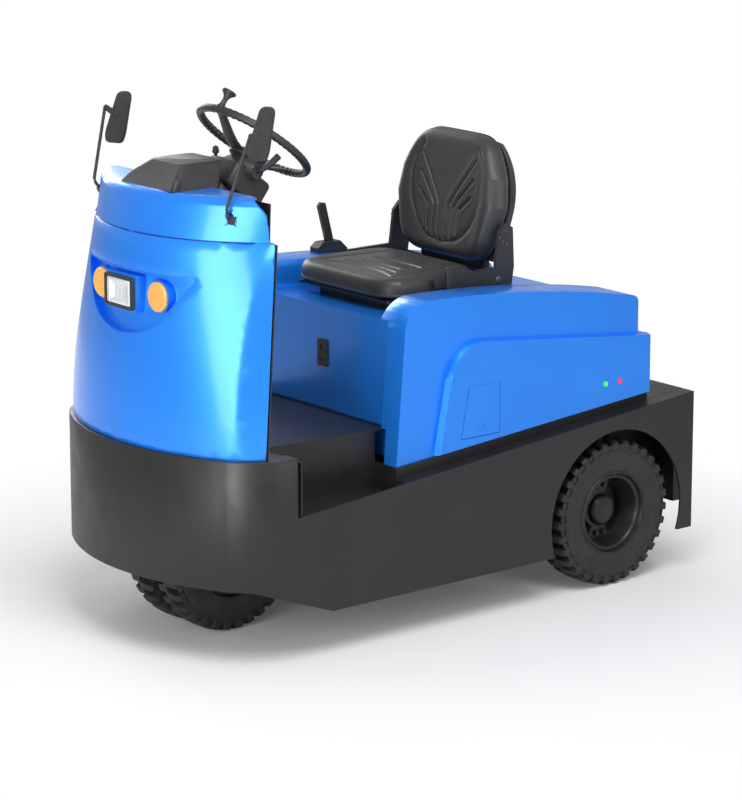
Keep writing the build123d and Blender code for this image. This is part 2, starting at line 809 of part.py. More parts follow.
# steering column: shroud and shaft along the wheel's axis
column = Plane(origin=(ahead(wheel_ahead), 0, wheel_z),
               x_dir=(cos(radians(wheel_tilt)), 0, sin(radians(wheel_tilt))),
               z_dir=(-sin(radians(wheel_tilt)), 0, cos(radians(wheel_tilt))))
shaft_r = 11.0
shroud_half = 50.0
with BuildPart() as column_shroud:
    with BuildSketch(column.offset(-58)):
        Circle(30)
    with BuildSketch(column.offset(-110)):
        RectangleRounded(120, 2 * shroud_half, 20)
    loft()
    with BuildSketch(column.offset(-110)):
        RectangleRounded(120, 2 * shroud_half, 20)
    extrude(amount=-330)
    with BuildSketch(shield_plane.offset(-shield_t - seat_gap)):
        Rectangle(900, 1800)
    extrude(amount=400, mode=Mode.SUBTRACT)
    with BuildSketch(column.offset(-50)):
        Circle(shaft_r + run_gap)
    extrude(amount=-120, mode=Mode.SUBTRACT)
column_shroud.part.label = "column_shroud"
export_step(column_shroud.part, "parts/column_shroud.step")

with BuildPart() as steering_wheel:
    with BuildSketch(Plane(origin=column.origin, x_dir=column.x_dir, z_dir=(0, 1, 0))):
        with Locations((wheel_ring_r, 0)):
            Circle(wheel_grip_r)
    revolve(axis=Axis(column.origin, column.z_dir))
    with BuildSketch(column.offset(-34)):
        Circle(34)
    extrude(amount=26, taper=8)
    for turn in (90, 210, 330):
        with BuildSketch(column.offset(-14)):
            with Locations(Rotation(0, 0, turn)):
                with Locations((wheel_ring_r / 2, 0)):
                    Rectangle(wheel_ring_r - 4, 22)
        extrude(amount=8)
    with BuildSketch(column.offset(-150)):
        Circle(shaft_r)
    extrude(amount=120)
    with BuildSketch(column.offset(wheel_grip_r - 3)):
        with Locations(Rotation(0, 0, 60)):
            with Locations((wheel_ring_r - 2, 0)):
                Circle(9)
    extrude(amount=36)
steering_wheel.part.label = "steering_wheel"
export_step(steering_wheel.part, "parts/steering_wheel.step")

# shift lever beside the column, in a ribbed boot
lever_y = -85.0
with BuildPart() as shift_lever:
    with BuildSketch(Plane.XZ.offset(-lever_y)):
        with BuildLine():
            base_x = ahead(1095)
            Polyline((base_x, 1330), (base_x + 24, 1330), (base_x + 24, 1338), (base_x + 17, 1342),
                     (base_x + 22, 1348), (base_x + 14, 1353), (base_x + 18, 1359), (base_x + 5, 1366),
                     (base_x + 5, 1392), (base_x + 11, 1398), (base_x + 8, 1414), (base_x, 1418), close=True)
        make_face()
    revolve(axis=Axis((base_x, lever_y, 0), (0, 0, 1)))
    with BuildSketch(Plane.XY.offset(1318)):
        with Locations((base_x, (lever_y - shroud_half - seat_gap) / 2)):
            Rectangle(36, -lever_y - shroud_half - seat_gap)
    extrude(amount=14)
shift_lever.part.label = "shift_lever"
export_step(shift_lever.part, "parts/shift_lever.step")

# pedals on the floor ahead of the seat
with BuildPart() as pedals:
    for y in (-150, -40):
        with BuildSketch(Plane.XZ.offset(-y - 30)):
            with BuildLine():
                Polyline((ahead(1130), floor_z), (ahead(1200), floor_z), (ahead(1236), floor_z + 92),
                         (ahead(1228), floor_z + 96), (ahead(1160), floor_z + 24), (ahead(1130), floor_z + 12),
                         close=True)
            make_face()
        extrude(amount=60)
pedals.part.label = "pedals"
export_step(pedals.part, "parts/pedals.step")

# mirrors: a bent rod from a socket in the cap and a head at its end
mirror_y = 360.0
with BuildPart() as mirror_left:
    with BuildLine() as rod_path:
        Polyline((ahead(1342), 318, 1285), (ahead(1362), 322, 1306), (ahead(1358), 326, 1330),
                 (ahead(1300), 352, 1520))
    with BuildSketch(Plane(origin=(ahead(1342), 318, 1285), z_dir=(20, 4, 21))):
        Circle(rod_r)
    sweep(path=rod_path.line, transition=Transition.ROUND)
    with BuildSketch(Plane.YZ.offset(ahead(1296))):
        with Locations((mirror_y, 1530)):
            RectangleRounded(104, 150, 24)
    extrude(amount=-24)
mirror_left.part.label = "mirror_left"
export_step(mirror_left.part, "parts/mirror_left.step")

with BuildPart() as mirror_right:
    mirror(mirror_left.part, about=Plane.XZ)
mirror_right.part.label = "mirror_right"
export_step(mirror_right.part, "parts/mirror_right.step")

# hood: one moulded shell with side rails, a channel for the seat and a set-back front panel
hood_front_base = 832.0
hood_front_top = 800.0
channel_front_half = 350.0
channel_floor_front = 925.0
channel_floor_rear = 853.0


def hood_profile(t):
    """Side profile of the hood, every edge pushed inward by t, open at the bottom."""
    base_front = hood_base(hood_front_base) - (1 if t else 0)
    base_rear = hood_base(hood_skirt_tail) - (1 if t else 0)
    Line((ahead(hood_skirt_tail + t), base_rear), (ahead(hood_front_base - t), base_front))
    Line((ahead(hood_front_base - t), base_front), (ahead(hood_front_top - t), 905))
    ThreePointArc((ahead(hood_front_top - t), 905), (ahead(772 - 0.7 * t), 958 - 0.7 * t),
                  (ahead(700), hood_top_front - t))
    ThreePointArc((ahead(700), hood_top_front - t), (ahead(300), 958 - t),
                  (ahead(hood_tail + 22), hood_top_rear - t))
    ThreePointArc((ahead(hood_tail + 22), hood_top_rear - t), (ahead(hood_tail + 7 + t * 0.3), 886 - t),
                  (ahead(hood_tail + t), 870 - t))
    Line((ahead(hood_tail + t), 870 - t), (ahead(hood_tail + t), hood_step_z - t))
    Line((ahead(hood_tail + t), hood_step_z - t), (ahead(hood_skirt_tail + t), hood_step_z - 8 - t))
    Line((ahead(hood_skirt_tail + t), hood_step_z - 8 - t), (ahead(hood_skirt_tail + t), base_rear))


def seat_channel(t):
    """Channel along the hood's top, widened and deepened by t, wider at its mouth."""
    with BuildPart(mode=Mode.PRIVATE) as channel:
        for place, floor, low, high in ((hood_front_base + 60, channel_floor_front, 318, 350),
                                        (hood_skirt_tail - 60, channel_floor_rear, 240, 330)):
            with BuildSketch(Plane.YZ.offset(ahead(place))):
                with BuildLine():
                    Polyline((-low - t, floor - t), (low + t, floor - t), (high + t, 1100), (-high - t, 1100),
                             close=True)
                make_face()
        loft()
    return channel.part


def hood_volume(t):
    """Solid form of the hood, every face pushed inward by t."""
    with BuildPart(mode=Mode.PRIVATE) as volume:
        with BuildSketch(Plane.XZ):
            with BuildLine():
                hood_profile(t)
            make_face()
        extrude(amount=hood_half - t, both=True)
        add(seat_channel(t), mode=Mode.SUBTRACT)
        with BuildSketch(Plane.XY.offset(floor_z + 6 - (20 if t else 0))):
            with Locations((ahead(hood_front - t + 100), 0)):
                Rectangle(200, 2 * (channel_front_half + t))
        extrude(amount=500, mode=Mode.SUBTRACT)
        with BuildSketch(Plane.XY.offset(400)):
            with Locations((ahead(hood_front - 14 + 200 - t), 0)):
                Rectangle(400, 2 * (channel_front_half + 22 + t))
        extrude(amount=floor_z + 6 - 400 + t, mode=Mode.SUBTRACT)
    return volume.part


with BuildPart() as hood_shell:
    add(hood_volume(0))
    add(hood_volume(hood_wall), mode=Mode.SUBTRACT)
hood_shell.part.label = "hood_shell"
export_step(hood_shell.part, "parts/hood_shell.step")

# raised panels on the hood's sides; the left one has the charging hatch
panel_out = 453.0
panel_recess = 12.0
hatch_low = 556.0
hatch_high = 710.0
hatch_front = 602.0
hatch_rear = 453.0


def side_panel_face():
    """Outline of a raised side panel, swept up from its front foot and sloping to the tail."""
    foot = ahead(690)
    Line((ahead(hood_skirt_tail), hood_base(hood_skirt_tail) + 1), (foot, hood_base(690) + 1))
    Line((foot, hood_base(690) + 1), (ahead(645), 745))
    ThreePointArc((ahead(645), 745), (ahead(600), 818), (ahead(515), 846))
    Line((ahead(515), 846), (ahead(hood_skirt_tail), hood_step_z - 6))
    Line((ahead(hood_skirt_tail), hood_step_z - 6), (ahead(hood_skirt_tail), hood_base(hood_skirt_tail) + 1))


def hatch_face(grow):
    """Outline of the charging hatch, wider at its foot, grown by a gap."""
    Polyline(
        (ahead(hatch_rear - grow), hatch_low - grow), (ahead(hatch_rear - grow), hatch_high + grow / 5),
        (ahead(hatch_front - 30 + grow), hatch_high + grow / 5), (ahead(hatch_front + grow), hatch_low - grow),
        close=True,
    )


with BuildPart() as side_panel_right:
    with BuildSketch(Plane.XZ.offset(hood_half + seat_gap)):
        with BuildLine():
            side_panel_face()
        make_face()
    extrude(amount=panel_out - hood_half - seat_gap, taper=12)
side_panel_right.part.label = "side_panel_right"
export_step(side_panel_right.part, "parts/side_panel_right.step")

with BuildPart() as side_panel_left:
    mirror(side_panel_right.part, about=Plane.XZ)
    with BuildSketch(Plane.XZ.offset(-panel_out + panel_recess)):
        with BuildLine():
            hatch_face(2.0)
        make_face()
    extrude(amount=-panel_recess - 10, mode=Mode.SUBTRACT)
side_panel_left.part.label = "side_panel_left"
export_step(side_panel_left.part, "parts/side_panel_left.step")

hatch_t = 4.0
with BuildPart() as charge_hatch:
    with BuildSketch(Plane.XZ.offset(-panel_out + hatch_t)):
        with BuildLine():
            hatch_face(0)
        make_face()
    extrude(amount=-hatch_t)
    with BuildSketch(Plane.XZ.offset(-panel_out)):
        with Locations((ahead(528), hatch_low + 26)):
            RectangleRounded(34, 20, 6)
    extrude(amount=2, mode=Mode.SUBTRACT)
charge_hatch.part.label = "charge_hatch"
export_step(charge_hatch.part, "parts/charge_hatch.step")

with BuildPart() as charge_socket:
    with BuildSketch(Plane.XZ.offset(-panel_out + panel_recess)):
        with Locations((ahead(520), 632)):
            RectangleRounded(96, 52, 8)
    extrude(amount=-5)
    with BuildSketch(Plane.XZ.offset(-panel_out + panel_recess - 5)):
        with Locations((ahead(545), 632), (ahead(495), 632)):
            Circle(12)
    extrude(amount=3, mode=Mode.SUBTRACT)
charge_socket.part.label = "charge_socket"
export_step(charge_socket.part, "parts/charge_socket.step")

with BuildPart() as status_lamp_green:
    with BuildSketch(Plane.XZ.offset(-panel_out)):
        with Locations((ahead(24), 638)):
            Circle(8)
    extrude(amount=-3)
status_lamp_green.part.label = "status_lamp_green"
export_step(status_lamp_green.part, "parts/status_lamp_green.step")

with BuildPart() as status_lamp_red:
    with BuildSketch(Plane.XZ.offset(-panel_out)):
        with Locations((ahead(-35), 639)):
            Circle(8)
    extrude(amount=-3)
status_lamp_red.part.label = "status_lamp_red"
export_step(status_lamp_red.part, "parts/status_lamp_red.step")

with BuildPart() as hood_latch:
    with BuildSketch(Plane.YZ.offset(ahead(hood_front))):
        with Locations((40, 775)):
            RectangleRounded(48, 82, 6)
    extrude(amount=4)
    with BuildSketch(Plane.YZ.offset(ahead(hood_front) + 4)):
        with Locations((40, 790)):
            Circle(11)
        with Locations((40, 755)):
            Rectangle(22, 8)
    extrude(amount=-2, mode=Mode.SUBTRACT)
hood_latch.part.label = "hood_latch"
export_step(hood_latch.part, "parts/hood_latch.step")

# seat: slides, cushion, backrest pad, back shell and side brackets
slide_half = 220.0
slide_front = 640.0
slide_rear = 360.0
channel_slope = (channel_floor_front - channel_floor_rear) / (hood_front_base - hood_skirt_tail + 120)


def channel_z(distance):
    """Height of the channel floor at a distance ahead of the rear axle."""
    return channel_floor_front - (hood_front_base + 60 - distance) * channel_slope


with BuildPart() as seat_slides:
    with BuildSketch(Plane.XZ):
        with BuildLine():
            Polyline((ahead(slide_front), channel_z(slide_front)), (ahead(slide_front), cushion_base - 8),
                     (ahead(slide_rear), cushion_base - 8), (ahead(slide_rear), channel_z(slide_rear)),
                     close=True)
        make_face()
    extrude(amount=170, both=True)
    with BuildSketch(Plane.XY.offset(cushion_base - 8)):
        with Locations((ahead(520), 0)):
            RectangleRounded(340, 2 * slide_half, 20)
    extrude(amount=8)
seat_slides.part.label = "seat_slides"
export_step(seat_slides.part, "parts/seat_slides.step")

with BuildPart() as seat_cushion:
    with BuildSketch(Plane.XY.offset(cushion_base + seat_gap)):
        with Locations((ahead((seat_front + seat_back) / 2), 0)):
            RectangleRounded(seat_front - seat_back, 2 * seat_half, 60)
    extrude(amount=cushion_top - cushion_base - seat_gap)
    fillet(seat_cushion.edges().group_by(Axis.Z)[-1], 24)
seat_cushion.part.label = "seat_cushion"
export_step(seat_cushion.part, "parts/seat_cushion.step")

# backrest: leans back, widest at a third of its height
back_lean = 9.0
back_low = 1010.0
back_high = 1392.0
back_plane = Plane(origin=(ahead(318), 0, back_low), x_dir=(0, 1, 0),
                   z_dir=(cos(radians(back_lean)), 0, sin(radians(back_lean))))


def backrest_face(inset):
    """Front outline of the backrest, pushed inward by the inset."""
    low = 200 - inset
    wide = 240 - inset
    top = 150 - inset
    high = back_high - back_low - inset
    Line((-low, inset), (low, inset))
    ThreePointArc((low, inset), (low + 18, 60), (wide, 165))
    ThreePointArc((wide, 165), (wide - 22, 290), (top, high - 8))
    ThreePointArc((top, high - 8), (0, high), (-top, high - 8))
    ThreePointArc((-top, high - 8), (-wide + 22, 290), (-wide, 165))
    ThreePointArc((-wide, 165), (-low - 18, 60), (-low, inset))


with BuildPart() as seat_backrest:
    with BuildSketch(back_plane.offset(-62)):
        with BuildLine():
            backrest_face(0)
        make_face()
    extrude(amount=62)
    chamfer(seat_backrest.faces().sort_by(Axis.X)[-1].edges(), 16)
seat_backrest.part.label = "seat_backrest"
export_step(seat_backrest.part, "parts/seat_backrest.step")

cross_ahead = 246.0
cross_z = 970.0
cross_r = 9.0
with BuildPart() as seat_shell:
    with BuildSketch(back_plane.offset(-62 - seat_gap)):
        with BuildLine():
            backrest_face(6)
        make_face()
    extrude(amount=-26, taper=14)
    with BuildSketch(Plane.XY.offset(cross_z + cross_r + seat_gap)):
        with Locations((ahead(cross_ahead - 2), 0)):
            Rectangle(20, 300)
    extrude(amount=36)
seat_shell.part.label = "seat_shell"
export_step(seat_shell.part, "parts/seat_shell.step")

bracket_y = seat_half + 3.0
bracket_t = 12.0
with BuildPart() as seat_brackets:
    with BuildSketch(Plane.XZ.offset(-bracket_y - bracket_t)):
        with BuildLine():
            Polyline((ahead(470), 937), (ahead(470), 1004), (ahead(300), 1004), (ahead(286), 1110),
                     (ahead(262), 1136), (ahead(232), 1120), (ahead(226), 1000), (ahead(236), 937),
                     close=True)
        make_face()
    extrude(amount=bracket_t)
    mirror(about=Plane.XZ)
    with BuildSketch(Plane.XZ):
        with Locations((ahead(cross_ahead), cross_z)):
            Circle(cross_r)
    extrude(amount=bracket_y + 1, both=True)
    with BuildSketch(Plane.XY.offset(cushion_base - 8)):
        for side in (1, -1):
            with Locations((ahead(420), side * (bracket_y + 1 + slide_half + seat_gap) / 2)):
                Rectangle(80, bracket_y + 1 - slide_half - seat_gap)
    extrude(amount=8)
seat_brackets.part.label = "seat_brackets"
export_step(seat_brackets.part, "parts/seat_brackets.step")

# parking brake lever on the right-hand rail
with BuildPart() as brake_lever:
    with BuildSketch(Plane.XZ.offset(370)):
        with BuildLine():
            Polyline((ahead(490), 940), (ahead(490), 990), (ahead(470), 1006), (ahead(400), 1006),
                     (ahead(372), 979), (ahead(372), 940), close=True)
        make_face()
    extrude(amount=40)
    add(hood_volume(0).moved(Location((0, 0, seat_gap))), mode=Mode.SUBTRACT)
    with BuildSketch(Plane.XZ.offset(384)):
        with BuildLine():
            Polyline((ahead(440), 990), (ahead(475), 1120), (ahead(465), 1132), (ahead(448), 1128),
                     (ahead(412), 990), close=True)
        make_face()
    extrude(amount=12)
brake_lever.part.label = "brake_lever"
export_step(brake_lever.part, "parts/brake_lever.step")
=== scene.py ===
"""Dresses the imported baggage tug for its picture: finishes, tread, trim, soft seat, floor, light and camera.

Every length is in metres in the part's own frame: +X ahead, +Y to the driver's left, +Z up, floor at Z 0.
Sizes written in millimetres ahead of the rear axle are turned into that frame by ahead().
"""

import json
import logging
import math
from collections.abc import Callable
from dataclasses import dataclass, field
from enum import Enum

import bpy
import numpy as np
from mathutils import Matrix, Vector


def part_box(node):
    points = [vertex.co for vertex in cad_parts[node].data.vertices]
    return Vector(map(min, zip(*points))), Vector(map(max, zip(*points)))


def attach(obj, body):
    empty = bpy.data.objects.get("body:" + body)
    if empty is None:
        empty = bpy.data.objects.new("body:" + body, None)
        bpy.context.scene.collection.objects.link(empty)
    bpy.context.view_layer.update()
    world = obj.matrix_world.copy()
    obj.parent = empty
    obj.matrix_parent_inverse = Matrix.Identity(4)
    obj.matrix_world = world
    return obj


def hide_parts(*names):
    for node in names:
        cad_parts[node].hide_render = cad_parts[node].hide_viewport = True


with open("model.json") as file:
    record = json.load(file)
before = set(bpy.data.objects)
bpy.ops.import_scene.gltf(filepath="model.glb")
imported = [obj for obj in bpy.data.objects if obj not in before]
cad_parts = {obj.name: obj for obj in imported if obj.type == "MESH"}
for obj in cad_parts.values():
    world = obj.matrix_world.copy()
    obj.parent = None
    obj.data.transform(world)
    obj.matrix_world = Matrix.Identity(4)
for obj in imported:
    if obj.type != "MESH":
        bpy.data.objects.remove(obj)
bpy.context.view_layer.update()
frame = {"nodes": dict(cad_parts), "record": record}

log = logging.getLogger("tug_looks")

MIDDLE_AHEAD = 0.5595  # the part's origin, ahead of the rear axle
AXLE_Z = 0.230
FRONT_AXLE = 1189.0  # millimetres ahead of the rear axle
COLUMN_TILT = math.radians(38.0)
X_DIR, Y_DIR, Z_DIR = (1.0, 0.0, 0.0), (0.0, 1.0, 0.0), (0.0, 0.0, 1.0)
TURN = 2 * np.pi
POINT = 1e-4  # radius, or share of one, so small that a ring of it closes a face
TUBE_END = 1e-5  # radius of the ring that closes a tube or a bar
WELD_GAP = 0.00002  # loose points of a CAD node nearer than this are joined
Array = np.ndarray
Socket = bpy.types.NodeSocket


def ahead(mm: float | Array) -> float | Array:
    """X in metres of a place given in millimetres ahead of the rear axle.

    Args:
        mm: distance ahead of the rear axle.
    Returns:
        The same place along X in the part's frame.
    """
    return mm / 1000.0 - MIDDLE_AHEAD


def smooth_step(low: float, high: float, value: Array) -> Array:
    """Smooth rise from 0 at low to 1 at high: 3t^2 - 2t^3 with t the clipped share.

    Args:
        low: value where the rise starts.
        high: value where it ends.
        value: numbers to map.
    Returns:
        The eased shares.
    """
    t = np.clip((np.asarray(value, float) - low) / (high - low), 0.0, 1.0)
    return t * t * (3.0 - 2.0 * t)


def bell(value: Array, width: float) -> Array:
    """Bell curve of height 1: exp(-(value / width)^2)."""
    return np.exp(-((value / width) ** 2))


class Side(Enum):
    """The two sides of the tug, as the sign of Y."""

    LEFT = 1
    RIGHT = -1

    @property
    def word(self) -> str:
        """The side as names of pieces and nodes spell it."""
        return self.name.lower()

    def of(self, shape: "Shape") -> "Shape":
        """A shape made for the left, or its mirror image on the right."""
        return shape if self is Side.LEFT else shape.mirrored()


def grid_faces(rows: int, cols: int, wrap_rows: bool = False, wrap_cols: bool = False) -> Array:
    """Quads over a grid of points numbered row by row.

    Args:
        rows: number of rows.
        cols: number of points in a row.
        wrap_rows: join the last row to the first.
        wrap_cols: join the last column to the first.
    Returns:
        An array of four point numbers a quad.
    """
    i = np.arange(rows if wrap_rows else rows - 1)[:, None]
    j = np.arange(cols if wrap_cols else cols - 1)[None, :]
    a = i * cols + j
    b = i * cols + (j + 1) % cols
    c = ((i + 1) % rows) * cols + (j + 1) % cols
    d = ((i + 1) % rows) * cols + j
    return np.stack([a, b, c, d], axis=-1).reshape(-1, 4)


@dataclass
class Shape:
    """Points and quads of a surface before it becomes a Blender mesh."""

    points: Array
    quads: Array

    def joined(self, *others: "Shape") -> "Shape":
        """One shape of this one and the others.

        Args:
            others: shapes whose points come after this one's, in order.
        Returns:
            The joined shape, point numbers moved along.
        """
        points, quads, start = [self.points], [self.quads], len(self.points)
        for other in others:
            points.append(other.points)
            quads.append(other.quads + start)
            start += len(other.points)
        return Shape(np.concatenate(points), np.concatenate(quads))

    def placed(self, origin: tuple, x_dir: tuple, z_dir: tuple) -> "Shape":
        """The shape carried into a place, its local X and Z laid along two directions.

        Args:
            origin: where the local origin goes.
            x_dir: direction of local X.
            z_dir: direction of local Z.
        Returns:
            The moved shape.
        """
        z = np.asarray(z_dir, float) / np.linalg.norm(z_dir)
        x = np.asarray(x_dir, float) - z * np.dot(x_dir, z)
        x = x / np.linalg.norm(x)
        turn = np.stack([x, np.cross(z, x), z])
        return Shape(self.points @ turn + np.asarray(origin, float), self.quads)

    def moved(self, x: float, y: float, z: float) -> "Shape":
        """The shape carried along by a step."""
        return Shape(self.points + np.array([x, y, z]), self.quads)

    def mirrored(self) -> "Shape":
        """The shape on the other side of the tug, with its faces still outward."""
        return Shape(self.points * np.array([1.0, -1.0, 1.0]), self.quads[:, ::-1])


def grid_shape(points: Array, wrap_rows: bool = False, wrap_cols: bool = False) -> Shape:
    """A shape from a grid of points (rows, cols, 3).

    Args:
        points: the grid.
        wrap_rows: join the last row to the first.
        wrap_cols: join the last column to the first.
    Returns:
        The surface.
    """
    rows, cols = points.shape[:2]
    return Shape(points.reshape(-1, 3), grid_faces(rows, cols, wrap_rows, wrap_cols))


def round_angles(steps: int) -> Array:
    """Angles of equal steps once round, the first at 0."""
    return np.linspace(0.0, TURN, steps, endpoint=False)


def squared(angle: Array, power: float) -> tuple[Array, Array]:
    """Places on a superellipse: cos and sin raised to 2 / power with their signs kept."""
    c, s = np.cos(angle), np.sin(angle)
    return np.sign(c) * np.abs(c) ** (2 / power), np.sign(s) * np.abs(s) ** (2 / power)


def path_tangents(path: Array) -> Array:
    """Unit direction of an open path at each point.

    Args:
        path: (n, 3) centre line.
    Returns:
        (n + 2, 3) directions, the two ends doubled for their closing rings.
    """
    tangent = np.gradient(path, axis=0)
    tangent = np.concatenate([tangent[:1], tangent, tangent[-1:]])
    return tangent / np.linalg.norm(tangent, axis=1, keepdims=True)


def leaned(angle: float) -> tuple[tuple, tuple]:
    """Directions of local X and Z of a piece leaned back about Y by an angle."""
    s, c = math.sin(angle), math.cos(angle)
    return (c, 0.0, s), (-s, 0.0, c)


def revolve(profile: Array, sides: int) -> Shape:
    """A profile of (radius, along) pairs turned about local Z.

    Formula: point = (r cos a, r sin a, along) for each profile point and each angle a.

    Args:
        profile: (n, 2) array of radius and place along the axis.
        sides: number of steps round.
    Returns:
        The surface of revolution, open where the profile ends.
    """
    a = round_angles(sides)
    r, z = profile[:, 0][None, :], profile[:, 1][None, :]
    points = np.stack([r * np.cos(a)[:, None], r * np.sin(a)[:, None], z + 0 * a[:, None]], axis=-1)
    return grid_shape(points, wrap_rows=True)


def tube(path: Array, radius: Array, sides: int = 12, closed: bool = False) -> Shape:
    """A round tube of a given radius along a path.

    Formula: path point + radius (cos a * side + sin a * across), where side is Z crossed with the tangent,
    so no stretch of the path may run straight up.

    Args:
        path: (n, 3) centre line.
        radius: one radius, or one for each path point.
        sides: steps round.
        closed: the path ends where it starts.
    Returns:
        The tube, with small closing rings at open ends.
    """
    path = np.asarray(path, float)
    r = np.broadcast_to(np.asarray(radius, float), (len(path),)).copy()
    if closed:
        tangent = np.roll(path, -1, axis=0) - np.roll(path, 1, axis=0)
        tangent /= np.linalg.norm(tangent, axis=1, keepdims=True)
    else:
        tangent = path_tangents(path)
        path = np.concatenate([path[:1], path, path[-1:]])
        r = np.concatenate([[TUBE_END], r, [TUBE_END]])
    side = np.cross(np.array(Z_DIR), tangent)
    side /= np.linalg.norm(side, axis=1, keepdims=True)
    across = np.cross(tangent, side)
    a = round_angles(sides)[None, :, None]
    ring = np.cos(a) * side[:, None, :] + np.sin(a) * across[:, None, :]
    return grid_shape(path[:, None, :] + r[:, None, None] * ring, wrap_rows=closed, wrap_cols=True)


def rounded_block(size: tuple, radius: float, steps: int = 3) -> Shape:
    """A block with rounded edges, centred on the origin.

    Formula: a unit sphere grid scaled to the edge radius, each octant pushed out to its corner of the block.

    Args:
        size: full lengths along X, Y and Z.
        radius: edge radius.
        steps: steps over each quarter of the rounding.
    Returns:
        The closed block.
    """
    half = np.asarray(size, float) / 2 - radius
    quarter = np.linspace(0.0, np.pi / 2, steps + 1)
    turn = np.concatenate([quarter + k * np.pi / 2 for k in range(4)])
    signs_u = np.concatenate([np.full(steps + 1, s) for s in (1, -1, -1, 1)])
    signs_v = np.concatenate([np.full(steps + 1, s) for s in (1, 1, -1, -1)])
    rise = np.concatenate([quarter - np.pi / 2, quarter])
    signs_w = np.concatenate([np.full(steps + 1, -1), np.full(steps + 1, 1)])
    x = radius * np.cos(rise)[:, None] * np.cos(turn)[None, :] + signs_u[None, :] * half[0]
    y = radius * np.cos(rise)[:, None] * np.sin(turn)[None, :] + signs_v[None, :] * half[1]
    z = radius * np.sin(rise)[:, None] + signs_w[:, None] * half[2] + 0 * x
    body = grid_shape(np.stack([x, y, z], axis=-1), wrap_cols=True)
    cols = len(turn)
    last = (len(rise) - 1) * cols
    corners = np.array([0, steps + 1, 2 * (steps + 1), 3 * (steps + 1)])
    caps = np.stack([corners[::-1], corners + last])
    return Shape(body.points, np.concatenate([body.quads, caps]))


def prism(outline: Array, low: float, high: float, edge: float = 0.0) -> Shape:
    """A flat outline in X and Y given thickness along Z, its edges eased inward.

    Formula: rings of the outline, drawn toward its middle by the edge at the two ends and closed by fans.

    Args:
        outline: (n, 2) points in order, anticlockwise.
        low: bottom Z.
        high: top Z.
        edge: easing of the rims.
    Returns:
        The closed prism.
    """
    middle = outline.mean(0)
    span = np.linalg.norm(outline - middle, axis=1).max()
    shrink = np.array([POINT, 1 - edge / span, 1.0, 1.0, 1 - edge / span, POINT])
    level = np.array([low, low, low + edge, high - edge, high, high])
    ring = middle + (outline - middle)[None] * shrink[:, None, None]
    points = np.concatenate([ring, np.broadcast_to(level[:, None, None], ring.shape[:2] + (1,))], axis=-1)
    return grid_shape(points, wrap_cols=True)


def fan_prism(outline: Array, low: float, high: float) -> Shape:
    """A prism along X of a bent outline in Y and Z, closed by strips between its two facing halves.

    Args:
        outline: (n, 2) points in order, the first half facing the second half.
        low: X of one end.
        high: X of the other.
    Returns:
        The closed prism.
    """
    n = len(outline)
    ends = np.array([low, high])
    along = np.broadcast_to(ends[:, None, None], (2, n, 1))
    points = np.concatenate([along, np.broadcast_to(outline[None], (2, n, 2))], axis=-1)
    wall = grid_faces(2, n, wrap_cols=True)
    i = np.arange((n - 1) // 2)
    lid = np.stack([i, i + 1, np.maximum(n - 2 - i, i + 1), n - 1 - i], axis=-1)
    return Shape(points.reshape(-1, 3), np.concatenate([wall, lid, lid[:, ::-1] + n]))


def rounded_outline(corners: Array, radii: Array, steps: int = 6) -> Array:
    """A polygon with each corner turned into an arc.

    Formula: a quadratic curve through each corner that leaves the two edges one radius away from it.

    Args:
        corners: (n, 2) polygon in order.
        radii: a radius for each corner.
        steps: points on each arc.
    Returns:
        (n * steps, 2) outline.
    """
    before = np.roll(corners, 1, axis=0) - corners
    after = np.roll(corners, -1, axis=0) - corners
    before /= np.linalg.norm(before, axis=1, keepdims=True)
    after /= np.linalg.norm(after, axis=1, keepdims=True)
    r = np.broadcast_to(np.asarray(radii, float), (len(corners),))[:, None, None]
    t = np.linspace(0.0, 1.0, steps)[None, :, None]
    start, end = corners[:, None] + before[:, None] * r, corners[:, None] + after[:, None] * r
    arc = (1 - t) ** 2 * start + 2 * t * (1 - t) * corners[:, None] + t**2 * end
    return arc.reshape(-1, 2)


class Nodes:
    """A node tree, with short calls that add nodes and join them."""

    def __init__(self, tree: bpy.types.NodeTree) -> None:
        """Take hold of a tree."""
        self.tree = tree

    def add(self, kind: str, settings: dict | None = None, **inputs: object) -> bpy.types.Node:
        """A node with its settings and inputs, an input being a number or another node's output.

        Args:
            kind: the node's type.
            settings: attributes of the node.
            inputs: sockets by name with underscores for spaces, or by number as i0, i1 and so on.
        Returns:
            The node.
        """
        node = self.tree.nodes.new(kind)
        for key, value in (settings or {}).items():
            setattr(node, key, value)
        for key, value in inputs.items():
            numbered = key[0] == "i" and key[1:].isdigit()
            socket = node.inputs[int(key[1:]) if numbered else key.replace("_", " ")]
            if isinstance(value, bpy.types.NodeSocket):
                self.tree.links.new(value, socket)
            else:
                socket.default_value = value
        return node

    def ramp(self, value: Socket, low: float, high: float, out_low: float, out_high: float) -> Socket:
        """A value carried from one range to another, clipped at both ends."""
        return self.add("ShaderNodeMapRange", i0=value, i1=low, i2=high, i3=out_low, i4=out_high).outputs[0]

    def math(self, operation: str, first: object, second: object = 0.0) -> Socket:
        """A Math node's result."""
        return self.add("ShaderNodeMath", {"operation": operation}, i0=first, i1=second).outputs[0]


